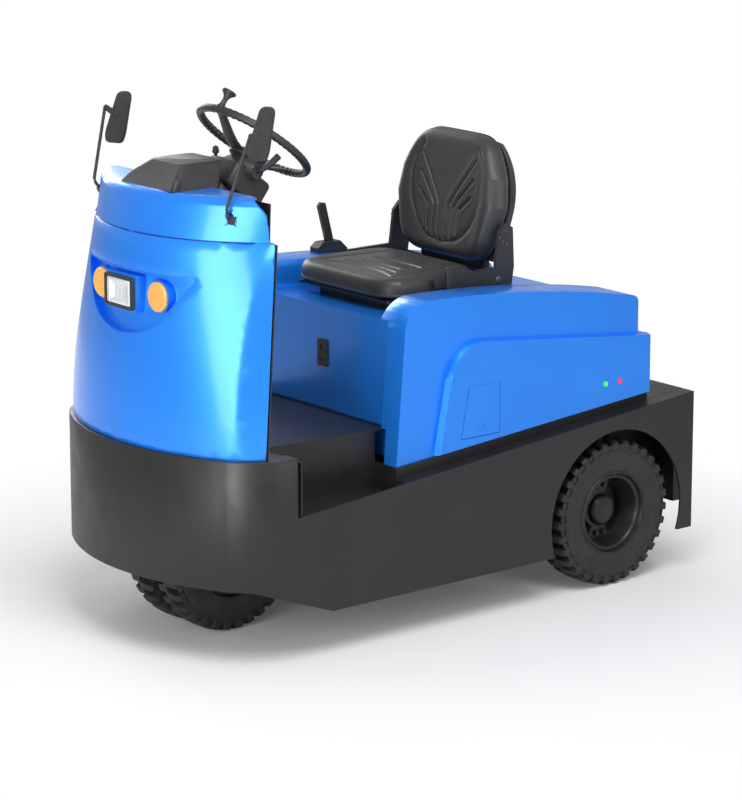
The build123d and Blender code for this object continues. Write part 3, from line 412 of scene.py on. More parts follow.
class Graph(Nodes):
    """A material's node tree, round a Principled shader and object coordinates."""

    def __init__(self, name: str) -> None:
        """Start a material.

        Args:
            name: the material's name.
        """
        self.material = bpy.data.materials.new(name)
        self.material.use_nodes = True
        super().__init__(self.material.node_tree)
        self.shader = self.tree.nodes["Principled BSDF"]
        self.place = self.tree.nodes.new("ShaderNodeTexCoord").outputs["Object"]

    def set(self, **values: object) -> "Graph":
        """Constants on the Principled shader's own sockets, underscores for spaces.

        Args:
            values: numbers or colours by socket name.
        Returns:
            The graph itself.
        """
        for key, value in values.items():
            self.shader.inputs[key.replace("_", " ")].default_value = value
        return self

    def noise(self, scale: float, detail: float = 3.0, rough: float = 0.5) -> Socket:
        """Noise over object coordinates, as its value socket."""
        settings = {"Scale": scale, "Detail": detail, "Roughness": rough}
        return self.add("ShaderNodeTexNoise", Vector=self.place, **settings).outputs[0]

    def tint(self, share: Socket, first: tuple, second: tuple) -> None:
        """Base colour between two colours by a share.

        Args:
            share: 0 for the first colour, 1 for the second.
            first: linear RGB.
            second: linear RGB.
        """
        colours = {"i6": (*first, 1.0), "i7": (*second, 1.0)}
        mix = self.add("ShaderNodeMix", {"data_type": "RGBA"}, i0=share, **colours)
        self.join(mix.outputs[2], "Base Color")

    def join(self, output: Socket, socket: str) -> None:
        """Feed an output into one of the Principled shader's sockets."""
        self.tree.links.new(output, self.shader.inputs[socket])

    def bump(self, height: Socket, distance: float, strength: float) -> None:
        """Relief of the surface by a height in metres times the distance."""
        node = self.add("ShaderNodeBump", Height=height, Distance=distance, Strength=strength)
        self.join(node.outputs[0], "Normal")


@dataclass(frozen=True)
class GlossPaint:
    """Sprayed coat over sheet: even colour, a clear wet top with faint orange peel."""

    name: str
    colour: tuple
    shade: tuple

    def make(self) -> bpy.types.Material:
        """The finish as a material.

        Returns:
            The new material.
        """
        g = Graph(self.name).set(Metallic=0.5, Roughness=0.36, Coat_Weight=0.5, Coat_Roughness=0.14, IOR=1.45)
        g.tint(g.ramp(g.noise(3.0, 2.0), 0.35, 0.65, 0.0, 1.0), self.colour, self.shade)
        g.bump(g.noise(260.0, 2.0), 0.00012, 0.35)
        return g.material


@dataclass(frozen=True)
class SatinPaint:
    """Powder coat over plate: fine even grain, slightly worn where hands and boots pass."""

    name: str
    colour: tuple
    roughness: float = 0.42
    grain: float = 900.0

    def make(self) -> bpy.types.Material:
        """The finish as a material.

        Returns:
            The new material.
        """
        g = Graph(self.name).set(IOR=1.45)
        lighter = tuple(c * 1.35 + 0.003 for c in self.colour)
        g.tint(g.ramp(g.noise(5.0, 4.0, 0.6), 0.35, 0.75, 0.0, 0.6), self.colour, lighter)
        worn = g.ramp(g.noise(14.0, 5.0, 0.6), 0.3, 0.7, self.roughness - 0.06, self.roughness + 0.08)
        g.join(worn, "Roughness")
        g.bump(g.noise(self.grain, 1.0), 0.0002, 0.25)
        return g.material


@dataclass(frozen=True)
class Rubber:
    """Black tyre rubber: matt, greyed by dust in patches."""

    name: str
    colour: tuple = (0.011, 0.011, 0.012)
    dust: tuple = (0.022, 0.022, 0.021)

    def make(self) -> bpy.types.Material:
        """The finish as a material.

        Returns:
            The new material.
        """
        g = Graph(self.name).set(IOR=1.48)
        g.tint(g.ramp(g.noise(11.0, 6.0, 0.65), 0.4, 0.75, 0.0, 1.0), self.colour, self.dust)
        g.join(g.ramp(g.noise(24.0, 4.0), 0.3, 0.7, 0.5, 0.68), "Roughness")
        g.bump(g.noise(700.0, 3.0), 0.0003, 0.4)
        return g.material


@dataclass(frozen=True)
class GrainPlastic:
    """Moulded plastic with a leather-like grain of small cells."""

    name: str
    colour: tuple
    roughness: float = 0.5
    cells: float = 520.0

    def make(self) -> bpy.types.Material:
        """The finish as a material.

        Returns:
            The new material.
        """
        g = Graph(self.name).set(IOR=1.46)
        lighter = tuple(c * 1.3 + 0.002 for c in self.colour)
        g.tint(g.ramp(g.noise(9.0, 4.0), 0.35, 0.7, 0.0, 1.0), self.colour, lighter)
        cells = g.add("ShaderNodeTexVoronoi", Vector=g.place, Scale=self.cells).outputs[0]
        rubbed = g.ramp(g.noise(18.0, 3.0), 0.3, 0.7, self.roughness - 0.05, self.roughness + 0.06)
        g.join(rubbed, "Roughness")
        g.bump(cells, 0.00025, 0.4)
        return g.material


@dataclass(frozen=True)
class Metal:
    """Bare or painted metal with turning marks or casting skin."""

    name: str
    colour: tuple
    roughness: float
    skin: float
    metallic: float = 1.0

    def make(self) -> bpy.types.Material:
        """The finish as a material.

        Returns:
            The new material.
        """
        g = Graph(self.name).set(Metallic=self.metallic, IOR=1.5)
        darker = tuple(c * 0.7 for c in self.colour)
        g.tint(g.noise(16.0, 5.0, 0.6), self.colour, darker)
        g.join(g.ramp(g.noise(30.0, 4.0), 0.3, 0.7, self.roughness - 0.08, self.roughness + 0.1), "Roughness")
        g.bump(g.noise(self.skin, 3.0), 0.0004, 0.3)
        return g.material


@dataclass(frozen=True)
class ClearLens:
    """Clear moulded lamp glass with fine upright flutes."""

    name: str

    def make(self) -> bpy.types.Material:
        """The finish as a material.

        Returns:
            The new material.
        """
        g = Graph(self.name).set(Roughness=0.04, IOR=1.45, Transmission_Weight=1.0)
        g.set(Base_Color=(0.93, 0.95, 0.97, 1.0))
        wave = g.add("ShaderNodeTexWave", {"bands_direction": "Y"}, Vector=g.place, Scale=70.0).outputs[1]
        g.bump(wave, 0.0006, 0.5)
        return g.material


@dataclass(frozen=True)
class LampSilver:
    """Silvered reflector seen through a fluted cover, brighter toward its middle, with painted streaks of
    reflected light and a painted glow.
    """

    name: str

    def make(self) -> bpy.types.Material:
        """The finish as a material.

        Returns:
            The new material.
        """
        g = Graph(self.name).set(Metallic=0.7, Roughness=0.22, Coat_Weight=1.0, Coat_Roughness=0.03)
        # Painted glow: the reflector gives off faint white light in place of the light it reflects.
        g.set(Emission_Strength=0.22, Emission_Color=(0.85, 0.9, 0.95, 1.0))
        xyz = g.add("ShaderNodeSeparateXYZ", i0=g.place).outputs
        wave = g.math("SINE", g.math("MULTIPLY", xyz[1], 900.0))
        # Painted reflections: bright and dull silver stripes stand in for light bent by the cover's flutes.
        g.tint(g.ramp(wave, -1.0, 1.0, 0.0, 1.0), (0.62, 0.65, 0.68), (0.95, 0.96, 0.97))
        g.bump(wave, 0.0012, 0.6)
        return g.material


@dataclass(frozen=True)
class ColourLens:
    """Coloured lamp plastic with a moulded lattice of small prisms, its crests painted paler as glints and a
    faint painted glow in its colour.
    """

    name: str
    colour: tuple
    glow: float
    pitch: float = 420.0

    def make(self) -> bpy.types.Material:
        """The finish as a material.

        Returns:
            The new material.
        """
        g = Graph(self.name).set(Roughness=0.22, Coat_Weight=0.6, Coat_Roughness=0.05)
        # Painted glow: the lens gives off a little light of its own colour, standing in for light passing
        # through the plastic.
        g.set(Emission_Strength=self.glow, Emission_Color=(*self.colour, 1.0))
        xyz = g.add("ShaderNodeSeparateXYZ", i0=g.place).outputs
        rising = g.math("SINE", g.math("MULTIPLY", g.math("ADD", xyz[1], xyz[2]), self.pitch * 2))
        falling = g.math("SINE", g.math("MULTIPLY", g.math("SUBTRACT", xyz[1], xyz[2]), self.pitch * 2))
        lattice = g.math("MULTIPLY", rising, falling)
        # Painted glints: the lattice's crests are paler, standing in for light caught by the prisms.
        pale = tuple(min(1.0, c * 1.9 + 0.12) for c in self.colour)
        g.tint(g.ramp(lattice, -0.4, 0.8, 0.0, 1.0), self.colour, pale)
        g.bump(lattice, 0.001, 0.5)
        return g.material


@dataclass(frozen=True)
class Mirror:
    """Silvered glass."""

    name: str

    def make(self) -> bpy.types.Material:
        """The finish as a material.

        Returns:
            The new material.
        """
        g = Graph(self.name).set(Metallic=1.0, Roughness=0.03)
        g.tint(g.noise(2.0), (0.78, 0.8, 0.82), (0.74, 0.76, 0.79))
        return g.material


FINISHES = (
    GlossPaint("body_blue", (0.012, 0.24, 0.92), (0.010, 0.225, 0.88)),
    SatinPaint("chassis_black", (0.011, 0.011, 0.012), 0.38),
    SatinPaint("battery_grey", (0.12, 0.13, 0.14), 0.55),
    Metal("pin_steel", (0.45, 0.45, 0.44), 0.35, 400.0),
    Metal("axle_iron", (0.045, 0.045, 0.045), 0.55, 160.0, 0.2),
    Rubber("tyre_rubber"),
    SatinPaint("rim_black", (0.009, 0.009, 0.009), 0.34),
    GrainPlastic("trim_plastic", (0.022, 0.022, 0.023), 0.42),
    ClearLens("lamp_glass"),
    ColourLens("amber_plastic", (0.62, 0.25, 0.015), 0.12, 300.0),
    ColourLens("green_plastic", (0.03, 0.75, 0.06), 0.5),
    ColourLens("red_plastic", (0.8, 0.015, 0.02), 0.4),
    GrainPlastic("seat_vinyl", (0.03, 0.03, 0.031), 0.42, 700.0),
    Mirror("mirror_glass"),
    # Body blue darkened as if in shadow: painted shade for the joint under the cowl's cap.
    SatinPaint("seam_blue", (0.003, 0.025, 0.16), 0.5),
    Metal("zinc_dark", (0.12, 0.12, 0.13), 0.35, 300.0, 0.6),
    GrainPlastic("grip_plastic", (0.022, 0.022, 0.023), 0.38, 900.0),
    LampSilver("lamp_silver"),
)


@dataclass
class Palette:
    """Every finish of the tug, made into a material once and handed out by its slot's name."""

    finishes: dict = field(default_factory=lambda: {finish.name: finish for finish in FINISHES})
    made: dict = field(default_factory=dict)

    def of(self, slot: str) -> bpy.types.Material:
        """The material of a slot, made the first time it is asked for.

        Args:
            slot: the finish's name.
        Returns:
            The material.
        """
        if slot not in self.made:
            self.made[slot] = self.finishes[slot].make()
        return self.made[slot]


PALETTE = Palette()


def piece(name: str, shape: Shape, finish: str, body: str, sharp: float = 40.0) -> bpy.types.Object:
    """A Blender object of a shape, with its finish, riding on a body of the frame.

    Args:
        name: the object's name.
        shape: its points and quads.
        finish: slot name in the palette.
        body: CAD body it moves with.
        sharp: angle in degrees past which an edge stays sharp.
    Returns:
        The object.
    """
    mesh = bpy.data.meshes.new(name)
    quads = shape.quads.astype(np.int32)
    mesh.vertices.add(len(shape.points))
    mesh.vertices.foreach_set("co", shape.points.astype(np.float32).ravel())
    mesh.loops.add(quads.size)
    mesh.loops.foreach_set("vertex_index", quads.ravel())
    mesh.polygons.add(len(quads))
    mesh.polygons.foreach_set("loop_start", np.arange(0, quads.size, 4, dtype=np.int32))
    mesh.update(calc_edges=True)
    mesh.validate()
    mesh.polygons.foreach_set("use_smooth", np.ones(len(mesh.polygons), bool))
    mesh.set_sharp_from_angle(angle=math.radians(sharp))
    mesh.materials.append(PALETTE.of(finish))
    obj = bpy.data.objects.new(name, mesh)
    bpy.context.scene.collection.objects.link(obj)
    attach(obj, body)
    log.info("%s: %d points, %d faces", name, len(mesh.vertices), len(mesh.polygons))
    return obj


@dataclass
class CadFinish:
    """The finishes and eased edges of the CAD nodes that stay in view."""

    eased: dict = field(default_factory=lambda: {
        "front_bumper": 0.002, "skirt_left": 0.002, "skirt_right": 0.002, "steps": 0.0015,
        "hood_shell": 0.003, "side_panel_left": 0.0025, "side_panel_right": 0.0025, "charge_hatch": 0.0015,
        "cowl_cap": 0.002, "front_cowl": 0.0015, "dash_console": 0.004, "column_shroud": 0.003,
        "floor_plate": 0.001, "rear_plate": 0.0015, "tow_coupling": 0.0015,
    })
    sharp: float = math.radians(32.0)

    def dress(self) -> None:
        """Give each CAD node its slot's material, and weld and bevel the nodes with eased edges."""
        for row in frame["record"]["subparts"]:
            node = frame["nodes"][row["node"]]
            node.data.materials.clear()
            node.data.materials.append(PALETTE.of(row["material_slot"]))
            width = self.eased.get(row["node"])
            if width:
                self.ease(node, width)

    def ease(self, node: bpy.types.Object, width: float) -> None:
        """Join a node's loose triangles and round its sharp edges.

        Args:
            node: the CAD node.
            width: bevel width in metres.
        """
        node.modifiers.new("weld", "WELD").merge_threshold = WELD_GAP
        bevel = node.modifiers.new("ease", "BEVEL")
        bevel.width = width
        bevel.segments = 2
        bevel.limit_method = "ANGLE"
        bevel.angle_limit = self.sharp
        bevel.harden_normals = True


@dataclass
class Tyre:
    """A solid tyre with staggered shoulder lugs.

    The lug walls lie on grid lines: each column of points keeps its place within a pitch, leaned by a slant
    that grows from the middle of the tread to its shoulder.
    """

    radius: float = 0.230
    width: float = 0.122
    lugs: int = 31
    depth: float = 0.019
    slant: float = 0.16
    shoulder: float = 0.99
    shoulder_step: float = 0.006
    shoulder_depth: float = 0.25

    def profile(self) -> tuple[Array, Array, Array]:
        """Half profile from the middle of the tread to the bead.

        Returns:
            Radius, place across, and the share of a slot's depth that is cut, at each point.
        """
        share = [0.0, 0.1, 0.14, 0.3, 0.5, 0.7, 0.86, 0.95, 1.0, 1.0,
                 0.985, 0.985, 0.965, 0.965, 0.99, 1.0, 1.0, 0.983, 0.97, 0.9]
        drop = [0.0, 0.0, 0.0, 0.0, 0.0008, 0.0018, 0.0035, 0.006, 0.010, 0.016,
                0.030, 0.0305, 0.032, 0.0345, 0.036, 0.045, 0.062, 0.063, 0.080, 0.100]
        cut = [0.0] * 2 + [1.0] * 8 + [0.9] + [0.0] * 9
        return self.radius - np.array(drop), np.array(share) * (self.width / 2), np.array(cut)

    def half(self, side: int) -> Shape:
        """One half of the tyre, its axle along local Z, lugs shifted by half a pitch on the second side.

        Formula: angle = pitch number + column place + slant * across; radius = profile - depth * slot(column)
        * cut, with a quarter of that depth on the shoulder, where the slot also steps inward across.

        Args:
            side: 1 for the half out along the axle, -1 for the other.
        Returns:
            The half tyre, open at its bead and at the middle.
        """
        rad, across, cut = self.profile()
        pitch = TURN / self.lugs
        place = np.array([0.0, 0.045, 0.455, 0.50, 0.62, 0.78, 0.9])
        slot = np.array([0.0, 1.0, 1.0, 0.0, 0.0, 0.0, 0.0])
        share = across / (self.width / 2)
        widen = 1.0 + 0.35 * smooth_step(0.5, 1.0, share)
        start = (np.arange(self.lugs)[:, None] + place[None, :]) * pitch
        start, slot = start.reshape(-1), np.tile(slot, self.lugs)
        local = np.tile(place, self.lugs)
        lean = self.slant * share + (0.25 if side > 0 else -0.25) * np.minimum(1.0, share / 0.1)
        spread = (local[:, None] - 0.25) * (widen[None, :] - 1.0) * np.where(local[:, None] < 0.55, 0.3, 0.0)
        angle = start[:, None] + (lean[None, :] + spread) * pitch
        deep = self.depth * slot[:, None] * cut[None, :]
        wall = share[None, :] >= self.shoulder
        inward = np.where(cut[None, :] * slot[:, None] * wall > 0, self.shoulder_step, 0.0)
        r = rad[None, :] - deep * np.where(wall, self.shoulder_depth, 1.0)
        z = (across[None, :] - inward) * side
        points = np.stack([r * np.cos(angle), r * np.sin(angle), z + 0 * r], axis=-1)
        shape = grid_shape(points, wrap_rows=True)
        return Shape(shape.points, shape.quads if side > 0 else shape.quads[:, ::-1])

    def shape(self, x: float, y: float) -> Shape:
        """The whole tyre with its axle along Y at a place on the axle line."""
        both = self.half(1).joined(self.half(-1))
        return both.placed((x, y, AXLE_Z), X_DIR, Y_DIR)


@dataclass
class Wheels:
    """The tug's four tyres: two at the rear, and a close pair on the steered axle."""

    rear_y: float = 0.414
    rear_width: float = 0.122
    front_width: float = 0.092
    front_y: float = 0.068
    sharp: float = 35.0

    def build(self) -> None:
        """Make the tyres and put them in place of the CAD ones."""
        rear = Tyre(width=self.rear_width)
        for side in Side:
            shape = rear.shape(ahead(0), side.value * self.rear_y)
            body = f"rear_wheel_{side.word}"
            made = piece(f"tyre_rear_{side.word}", shape, "tyre_rubber", body, self.sharp)
            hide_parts(f"rear_tyre_{side.word}")
        front = Tyre(width=self.front_width)
        pair = [front.shape(ahead(FRONT_AXLE), side.value * self.front_y) for side in Side]
        made = piece("tyres_front", pair[0].joined(pair[1]), "tyre_rubber", "front_wheels", self.sharp)
        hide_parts("front_tyres")


def spaced(rim: float, rim_steps: int, steps: int) -> Array:
    """Places from -1 to 1, even inside and crowded toward both ends as the cube of the way in.

    Args:
        rim: share of the half length that is crowded.
        rim_steps: steps over each crowded end.
        steps: steps over the even middle.
    Returns:
        The places.
    """
    end = 1.0 - rim * np.linspace(0.0, 1.0, rim_steps + 1) ** 3
    middle = np.linspace(-(1.0 - rim), 1.0 - rim, steps + 1)[1:-1]
    return np.concatenate([-end, middle, end[::-1]])


def near_lines(a: Array, b: Array, lines: list) -> Array:
    """Distance from each point to the nearest of several broken lines.

    Formula: for each run of a line, the point's foot on it is clipped to its ends; the least is kept.

    Args:
        a: first coordinate of the points.
        b: second coordinate of the points.
        lines: lists of (a, b) corners.
    Returns:
        The least distance of each point.
    """
    starts = np.concatenate([np.asarray(line, float)[:-1] for line in lines])
    ends = np.concatenate([np.asarray(line, float)[1:] for line in lines])
    run = ends - starts
    off_a, off_b = a[..., None] - starts[:, 0], b[..., None] - starts[:, 1]
    share = np.clip((off_a * run[:, 0] + off_b * run[:, 1]) / (run**2).sum(1), 0.0, 1.0)
    return np.hypot(off_a - share * run[:, 0], off_b - share * run[:, 1]).min(-1)


def bar(path: Array, wide: Array, thick: Array, across: tuple, power: float = 4.0, sides: int = 20) -> Shape:
    """A bar of rounded-rectangle section along a path.

    Formula: path point + wide * c(a) * across + thick * s(a) * normal, c and s lying on a superellipse.

    Args:
        path: (n, 3) centre line.
        wide: half width, one or for each path point.
        thick: half thickness, one or for each path point.
        across: direction of the width.
        power: squareness of the section.
        sides: steps round the section.
    Returns:
        The bar, closed at its ends.
    """
    path, across = np.asarray(path, float), np.asarray(across, float)
    tangent = path_tangents(path)
    w, t = (np.concatenate([[TUBE_END], np.broadcast_to(np.asarray(half, float), (len(path),)), [TUBE_END]])
            for half in (wide, thick))
    path = np.concatenate([path[:1], path, path[-1:]])
    side = across - tangent * (tangent @ across)[:, None]
    side /= np.linalg.norm(side, axis=1, keepdims=True)
    normal = np.cross(tangent, side)
    c, s = squared(round_angles(sides), power)
    out = w[:, None, None] * c[None, :, None] * side[:, None]
    up = t[:, None, None] * s[None, :, None] * normal[:, None]
    return grid_shape(path[:, None, :] + (out + up), wrap_cols=True)


def studs(places: Array, radius: float, height: float, sides: int = 6) -> Shape:
    """Many small heads standing on local Z at given places, chamfered at the top.

    Formula: four rings of a polygon for each place, all made in one array.

    Args:
        places: (n, 3) feet of the heads.
        radius: corner radius.
        height: height of a head.
        sides: 6 for a hexagon, more for a round head.
    Returns:
        The heads as one shape.
    """
    places = np.asarray(places, float)
    a = round_angles(sides)
    r = np.array([1.0, 1.0, 0.82, 1e-3]) * radius
    z = np.array([0.0, 0.8, 1.0, 1.0]) * height
    ring = np.stack([r[:, None] * np.cos(a), r[:, None] * np.sin(a), z[:, None] + 0 * a[None, :]], axis=-1)
    points = (places[:, None, None, :] + ring[None]).reshape(-1, 3)
    one = grid_faces(len(r), sides, wrap_cols=True)
    starts = np.arange(len(places)) * len(r) * sides
    return Shape(points, (one[None] + starts[:, None, None]).reshape(-1, 4))


@dataclass
class Pad:
    """A crowned soft pad: local X along its length, Y across, Z out of its face."""

    length: float
    half_width: tuple
    top: float
    under: float
    corner: float = 5.0
    rim: float = 0.2
    crown: float = 2.6
    steps: int = 140
    rim_steps: int = 14
    seam_steps: int = 160

    def spread(self) -> tuple[Array, Array, Array]:
        """The plan of the pad.

        Formula: a square grid (a, b) drawn onto a superellipse by k = max(|a|, |b|) / (|a|^p + |b|^p)^(1/p),
        then across is scaled by the half width at that place along.

        Returns:
            Places along and across, and how near the rim each is, from 0 to 1.
        """
        places = spaced(self.rim, self.rim_steps, self.steps)
        a, b = np.meshgrid(places, places, indexing="ij")
        rho = np.maximum(np.abs(a), np.abs(b))
        norm = (np.abs(a) ** self.corner + np.abs(b) ** self.corner) ** (1 / self.corner)
        k = rho / np.maximum(norm, 1e-9)
        along = (a * k + 1.0) * self.length / 2
        at, half = np.array(self.half_width).T
        return along, b * k * np.interp(along, at, half), rho

    def shape(self, relief: Callable[[Array, Array], Array]) -> Shape:
        """The closed pad, its face raised and cut by a relief.

        Formula: height = top * (1 - g^n)^(1/n), g running from 0 at the inner edge of the rim to 1 at the
        seam, plus relief(along, across) * (1 - g^2); the underside is the same dome with its own depth.

        Args:
            relief: function of along and across giving metres out of the face.
        Returns:
            The pad.
        """
        along, across, rho = self.spread()
        g = np.clip((rho - (1 - self.rim)) / self.rim, 0.0, 1.0)
        dome = np.maximum(1.0 - g**self.crown, 0.0) ** (1 / self.crown)
        face = self.top * dome + relief(along, across) * (1.0 - g**2)
        back = -self.under * dome
        up = grid_shape(np.stack([along, across, face], axis=-1))
        down = grid_shape(np.stack([along, across, back], axis=-1))
        return up.joined(Shape(down.points, down.quads[:, ::-1]))

    def seam(self, lift: float, out: float, radius: float) -> Shape:
        """Piping round the rim of the pad.

        Args:
            lift: height of the piping.
            out: how far its middle lies inside the rim.
            radius: its radius.
        Returns:
            The closed piping.
        """
        c, s = squared(round_angles(self.seam_steps), self.corner)
        along = (c * (1 - 2 * out / self.length) + 1.0) * self.length / 2
        at, half = np.array(self.half_width).T
        across = s * (np.interp(along, at, half) - out)
        return tube(np.stack([along, across, 0 * along + lift], axis=-1), radius, 8, closed=True)


@dataclass
class Seat:
    """Cushion and backrest pads with their sewn channels, and the belt buckle on the near bracket."""

    back_lean: float = math.radians(9.0)
    back_crown: float = 0.046
    fill: float = 0.8
    sharp: float = 70.0
    bracket_y: float = 0.2548
    buckle_y: float = 0.2565
    buckle_z: float = 0.984

    def back_relief(self, along: Array, across: Array) -> Array:
        """Face of the backrest: a hollow between side wings, a fan of six flutes, and an oval seam.

        Formula: a cut is a bell curve of the distance to its line; the wings and the puff are smooth steps.

        Args:
            along: places up the backrest.
            across: places across it.
        Returns:
            Metres out of the face.
        """
        fan = [[(0.303, 0.122), (0.202, 0.050), (0.157, 0.022), (0.052, 0.014)],
               [(0.246, 0.122), (0.175, 0.060), (0.150, 0.046), (0.058, 0.040)],
               [(0.191, 0.118), (0.148, 0.072), (0.074, 0.067)]]
        oval = [[(0.335, 0.128), (0.29, 0.152), (0.24, 0.162), (0.19, 0.160), (0.144, 0.148),
                 (0.10, 0.124), (0.068, 0.092), (0.049, 0.056), (0.042, 0.0)]]
        y = np.abs(across)
        flute = near_lines(along, y, fan)
        seam = near_lines(along, y, oval)
        wings = 0.013 * smooth_step(0.125, 0.2, y) - 0.004
        puff = 0.004 * smooth_step(0.0, 0.018, seam) - 0.003
        cut = -0.0090 * bell(flute, 0.0029) + 0.0015 * bell(flute - 0.012, 0.006)
        return wings + puff + cut - 0.004 * bell(seam, 0.0028)

    def cushion_relief(self, along: Array, across: Array) -> Array:
        """Face of the cushion: a shallow dish, raised side bolsters, and cross channels bowed to the front.

        Formula: a channel is a bell curve of the distance to its line, faded out toward its end across.

        Args:
            along: places from the back edge to the front.
            across: places across the cushion.
        Returns:
            Metres out of the face.
        """
        y = np.abs(across)
        bow = 0.035 * (across / 0.16) ** 2
        lines = [(0.272 + bow, 0.165), (0.236 + bow, 0.130), (0.200 + bow, 0.100), (0.130 + bow, 0.120)]
        cuts = sum(-0.0045 * bell(along - at, 0.004) * (1.0 - smooth_step(reach - 0.02, reach, y))
                   for at, reach in lines)
        side = near_lines(along, y, [[(0.05, 0.150), (0.20, 0.168), (0.31, 0.176)]])
        dish = -0.006 * np.exp(-(((along - 0.14) / 0.09) ** 2 + (across / 0.12) ** 2))
        return cuts + dish + 0.002 * smooth_step(0.16, 0.2, y) - 0.004 * bell(side, 0.0035) - 0.003

    def build(self) -> None:
        """Make the pads in place of the CAD ones, then the buckle, belt end and bracket bolts."""
        widths = ((0.0, 0.222), (0.2, 0.240), (0.32, 0.240), (0.378, 0.222))
        cushion = Pad(0.378, widths, top=0.046, under=0.017, corner=6.0, rim=0.17, crown=2.8)
        place = ((ahead(328), 0.0, 0.9635), X_DIR, Z_DIR)
        shape = cushion.shape(self.cushion_relief).placed(*place)
        made = piece("seat_cushion_pad", shape, "seat_vinyl", "hood", self.sharp)
        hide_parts("seat_cushion")
        piping = cushion.seam(-0.004, 0.0015, 0.0045).placed(*place)
        piece("seat_cushion_piping", piping, "seat_vinyl", "hood")
        s, c = math.sin(self.back_lean), math.cos(self.back_lean)
        widths = ((0.0, 0.180), (0.06, 0.206), (0.175, 0.239), (0.26, 0.224), (0.34, 0.184), (0.384, 0.160))
        back = Pad(0.384, widths, top=self.back_crown, under=0.022, corner=7.0, rim=0.22, crown=2.4)
        foot = (ahead(318 - 1000 * self.back_crown * c), 0.0, 1.010 - self.back_crown * s - 0.002)
        place = (foot, (-s, 0.0, c), (c, 0.0, s))
        shape = back.shape(self.back_relief).placed(*place)
        made = piece("seat_backrest_pad", shape, "seat_vinyl", "hood", self.sharp)
        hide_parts("seat_backrest")
        piping = back.seam(-0.003, 0.0005, 0.004).placed(*place)
        piece("seat_backrest_piping", piping, "seat_vinyl", "hood")
        self.belt()

    def belt(self) -> None:
        """Belt buckle with its slots, the web to its pivot, and the bolts and holes of the brackets."""
        y, z = self.buckle_y, self.buckle_z

        def block(size: tuple, radius: float, mm: float, out: float, lift: float = 0.0) -> Shape:
            """A rounded block of the buckle, its thickness out from the seat."""
            return rounded_block(size, radius).placed((ahead(mm), y + out, z + lift), X_DIR, Y_DIR)

        case = block((0.052, 0.098, 0.016), 0.005, 478, 0.006)
        ribs = [block((0.005, 0.066, 0.006), 0.002, mm, 0.014) for mm in (466, 478, 490)]
        tongue = block((0.046, 0.044, 0.006), 0.0025, 524, 0.004, 0.008)
        piece("seat_belt_buckle", case.joined(*ribs, tongue), "trim_plastic", "hood")
        path = [(ahead(455), y + 0.002, z), (ahead(380), y + 0.001, z - 0.006),
                (ahead(300), y + 0.001, z - 0.012)]
        piece("seat_belt_web", bar(path, 0.024, 0.0014, Z_DIR, 6.0), "trim_plastic", "hood")
        pivot = [(ahead(292), -0.967, 0.0)]
        holes = [(ahead(mm), -z, 0.0) for mm, z in ((261, 1.112), (285, 1.094), (271, 1.080), (256, 1.071))]
        heads = studs(pivot, 0.011, 0.006, 12).joined(studs(holes, 0.0042, 0.0015, 12))
        near = heads.placed((0.0, self.bracket_y, 0.0), X_DIR, Y_DIR)
        piece("seat_bracket_bolts", near.joined(near.mirrored()), "zinc_dark", "hood")


@dataclass
class SteeringWheel:
    """Steering wheel with a finger-grip rim, two dished spokes, a hub and a trumpet spinner knob."""

    centre: tuple = (0.4605, 0.0, 1.434)
    ring: float = 0.178
    grip: float = 0.0118
    wave: float = 0.0013
    waves: int = 56
    spoke_angle: float = math.radians(7.0)
    knob_scale: float = 0.84

    def rim(self) -> Shape:
        """The grip: a torus with finger waves on its inner side.

        Formula: grip radius = 11.8 mm + 1.3 mm * cos(56 a) * inner share, where a runs round the wheel.

        Returns:
            The closed ring.
        """
        a = round_angles(8 * self.waves)[:, None]
        b = round_angles(18)[None, :]
        inner = 0.5 - 0.5 * np.cos(b)
        r = self.grip + self.wave * np.cos(self.waves * a) * inner
        radial = self.ring + r * np.cos(b)
        points = np.stack([radial * np.cos(a), radial * np.sin(a), r * np.sin(b) + 0 * a], axis=-1)
        return grid_shape(points, wrap_rows=True, wrap_cols=True)

    def spoke(self, angle: float) -> Shape:
        """A dished spoke from the hub to the rim, thinning outward.

        Args:
            angle: where it stands round the wheel.
        Returns:
            The spoke.
        """
        r = np.array([0.02, 0.045, 0.075, 0.105, 0.135, 0.158, 0.174])
        z = np.array([-0.052, -0.050, -0.044, -0.032, -0.017, -0.006, -0.001])
        half = np.array([0.029, 0.027, 0.024, 0.021, 0.018, 0.016, 0.015])
        path = np.stack([r * math.cos(angle), r * math.sin(angle), z], axis=-1)
        return bar(path, half, 0.0055, (-math.sin(angle), math.cos(angle), 0.0))

    def hub(self) -> Shape:
        """The hub: a cap over a flange and a neck, its profile running up from the foot."""
        return revolve(np.array([
            (POINT, -0.086), (0.024, -0.086), (0.030, -0.070), (0.047, -0.062), (0.050, -0.055),
            (0.048, -0.049), (0.033, -0.046), (0.031, -0.038), (0.026, -0.035), (POINT, -0.034)]), 40)

    def knob(self) -> Shape:
        """The spinner knob: a trumpet with a dished top, standing on the rim at the near spoke.

        Returns:
            The closed knob, lowered to fit under the tug's height.
        """
        shape = revolve(np.array([
            (POINT, 0.0), (0.011, 0.0), (0.0125, 0.004), (0.0095, 0.010), (0.0078, 0.022), (0.0085, 0.036),
            (0.013, 0.047), (0.0195, 0.054), (0.0225, 0.059), (0.0215, 0.0635), (0.017, 0.065),
            (0.013, 0.0615), (POINT, 0.060)]), 28)
        low = Shape(shape.points * np.array([1.0, 1.0, self.knob_scale]), shape.quads)
        angle = self.spoke_angle
        return low.moved(self.ring * math.cos(angle), self.ring * math.sin(angle), 0.008)

    def build(self) -> None:
        """Make the wheel in place of the CAD one."""
        spokes = [self.spoke(self.spoke_angle), self.spoke(self.spoke_angle + math.pi)]
        shape = self.rim().joined(*spokes, self.hub(), self.knob()).placed(self.centre, *leaned(COLUMN_TILT))
        made = piece("wheel_of_steering", shape, "grip_plastic", "steering", sharp=50)
        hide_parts("steering_wheel")


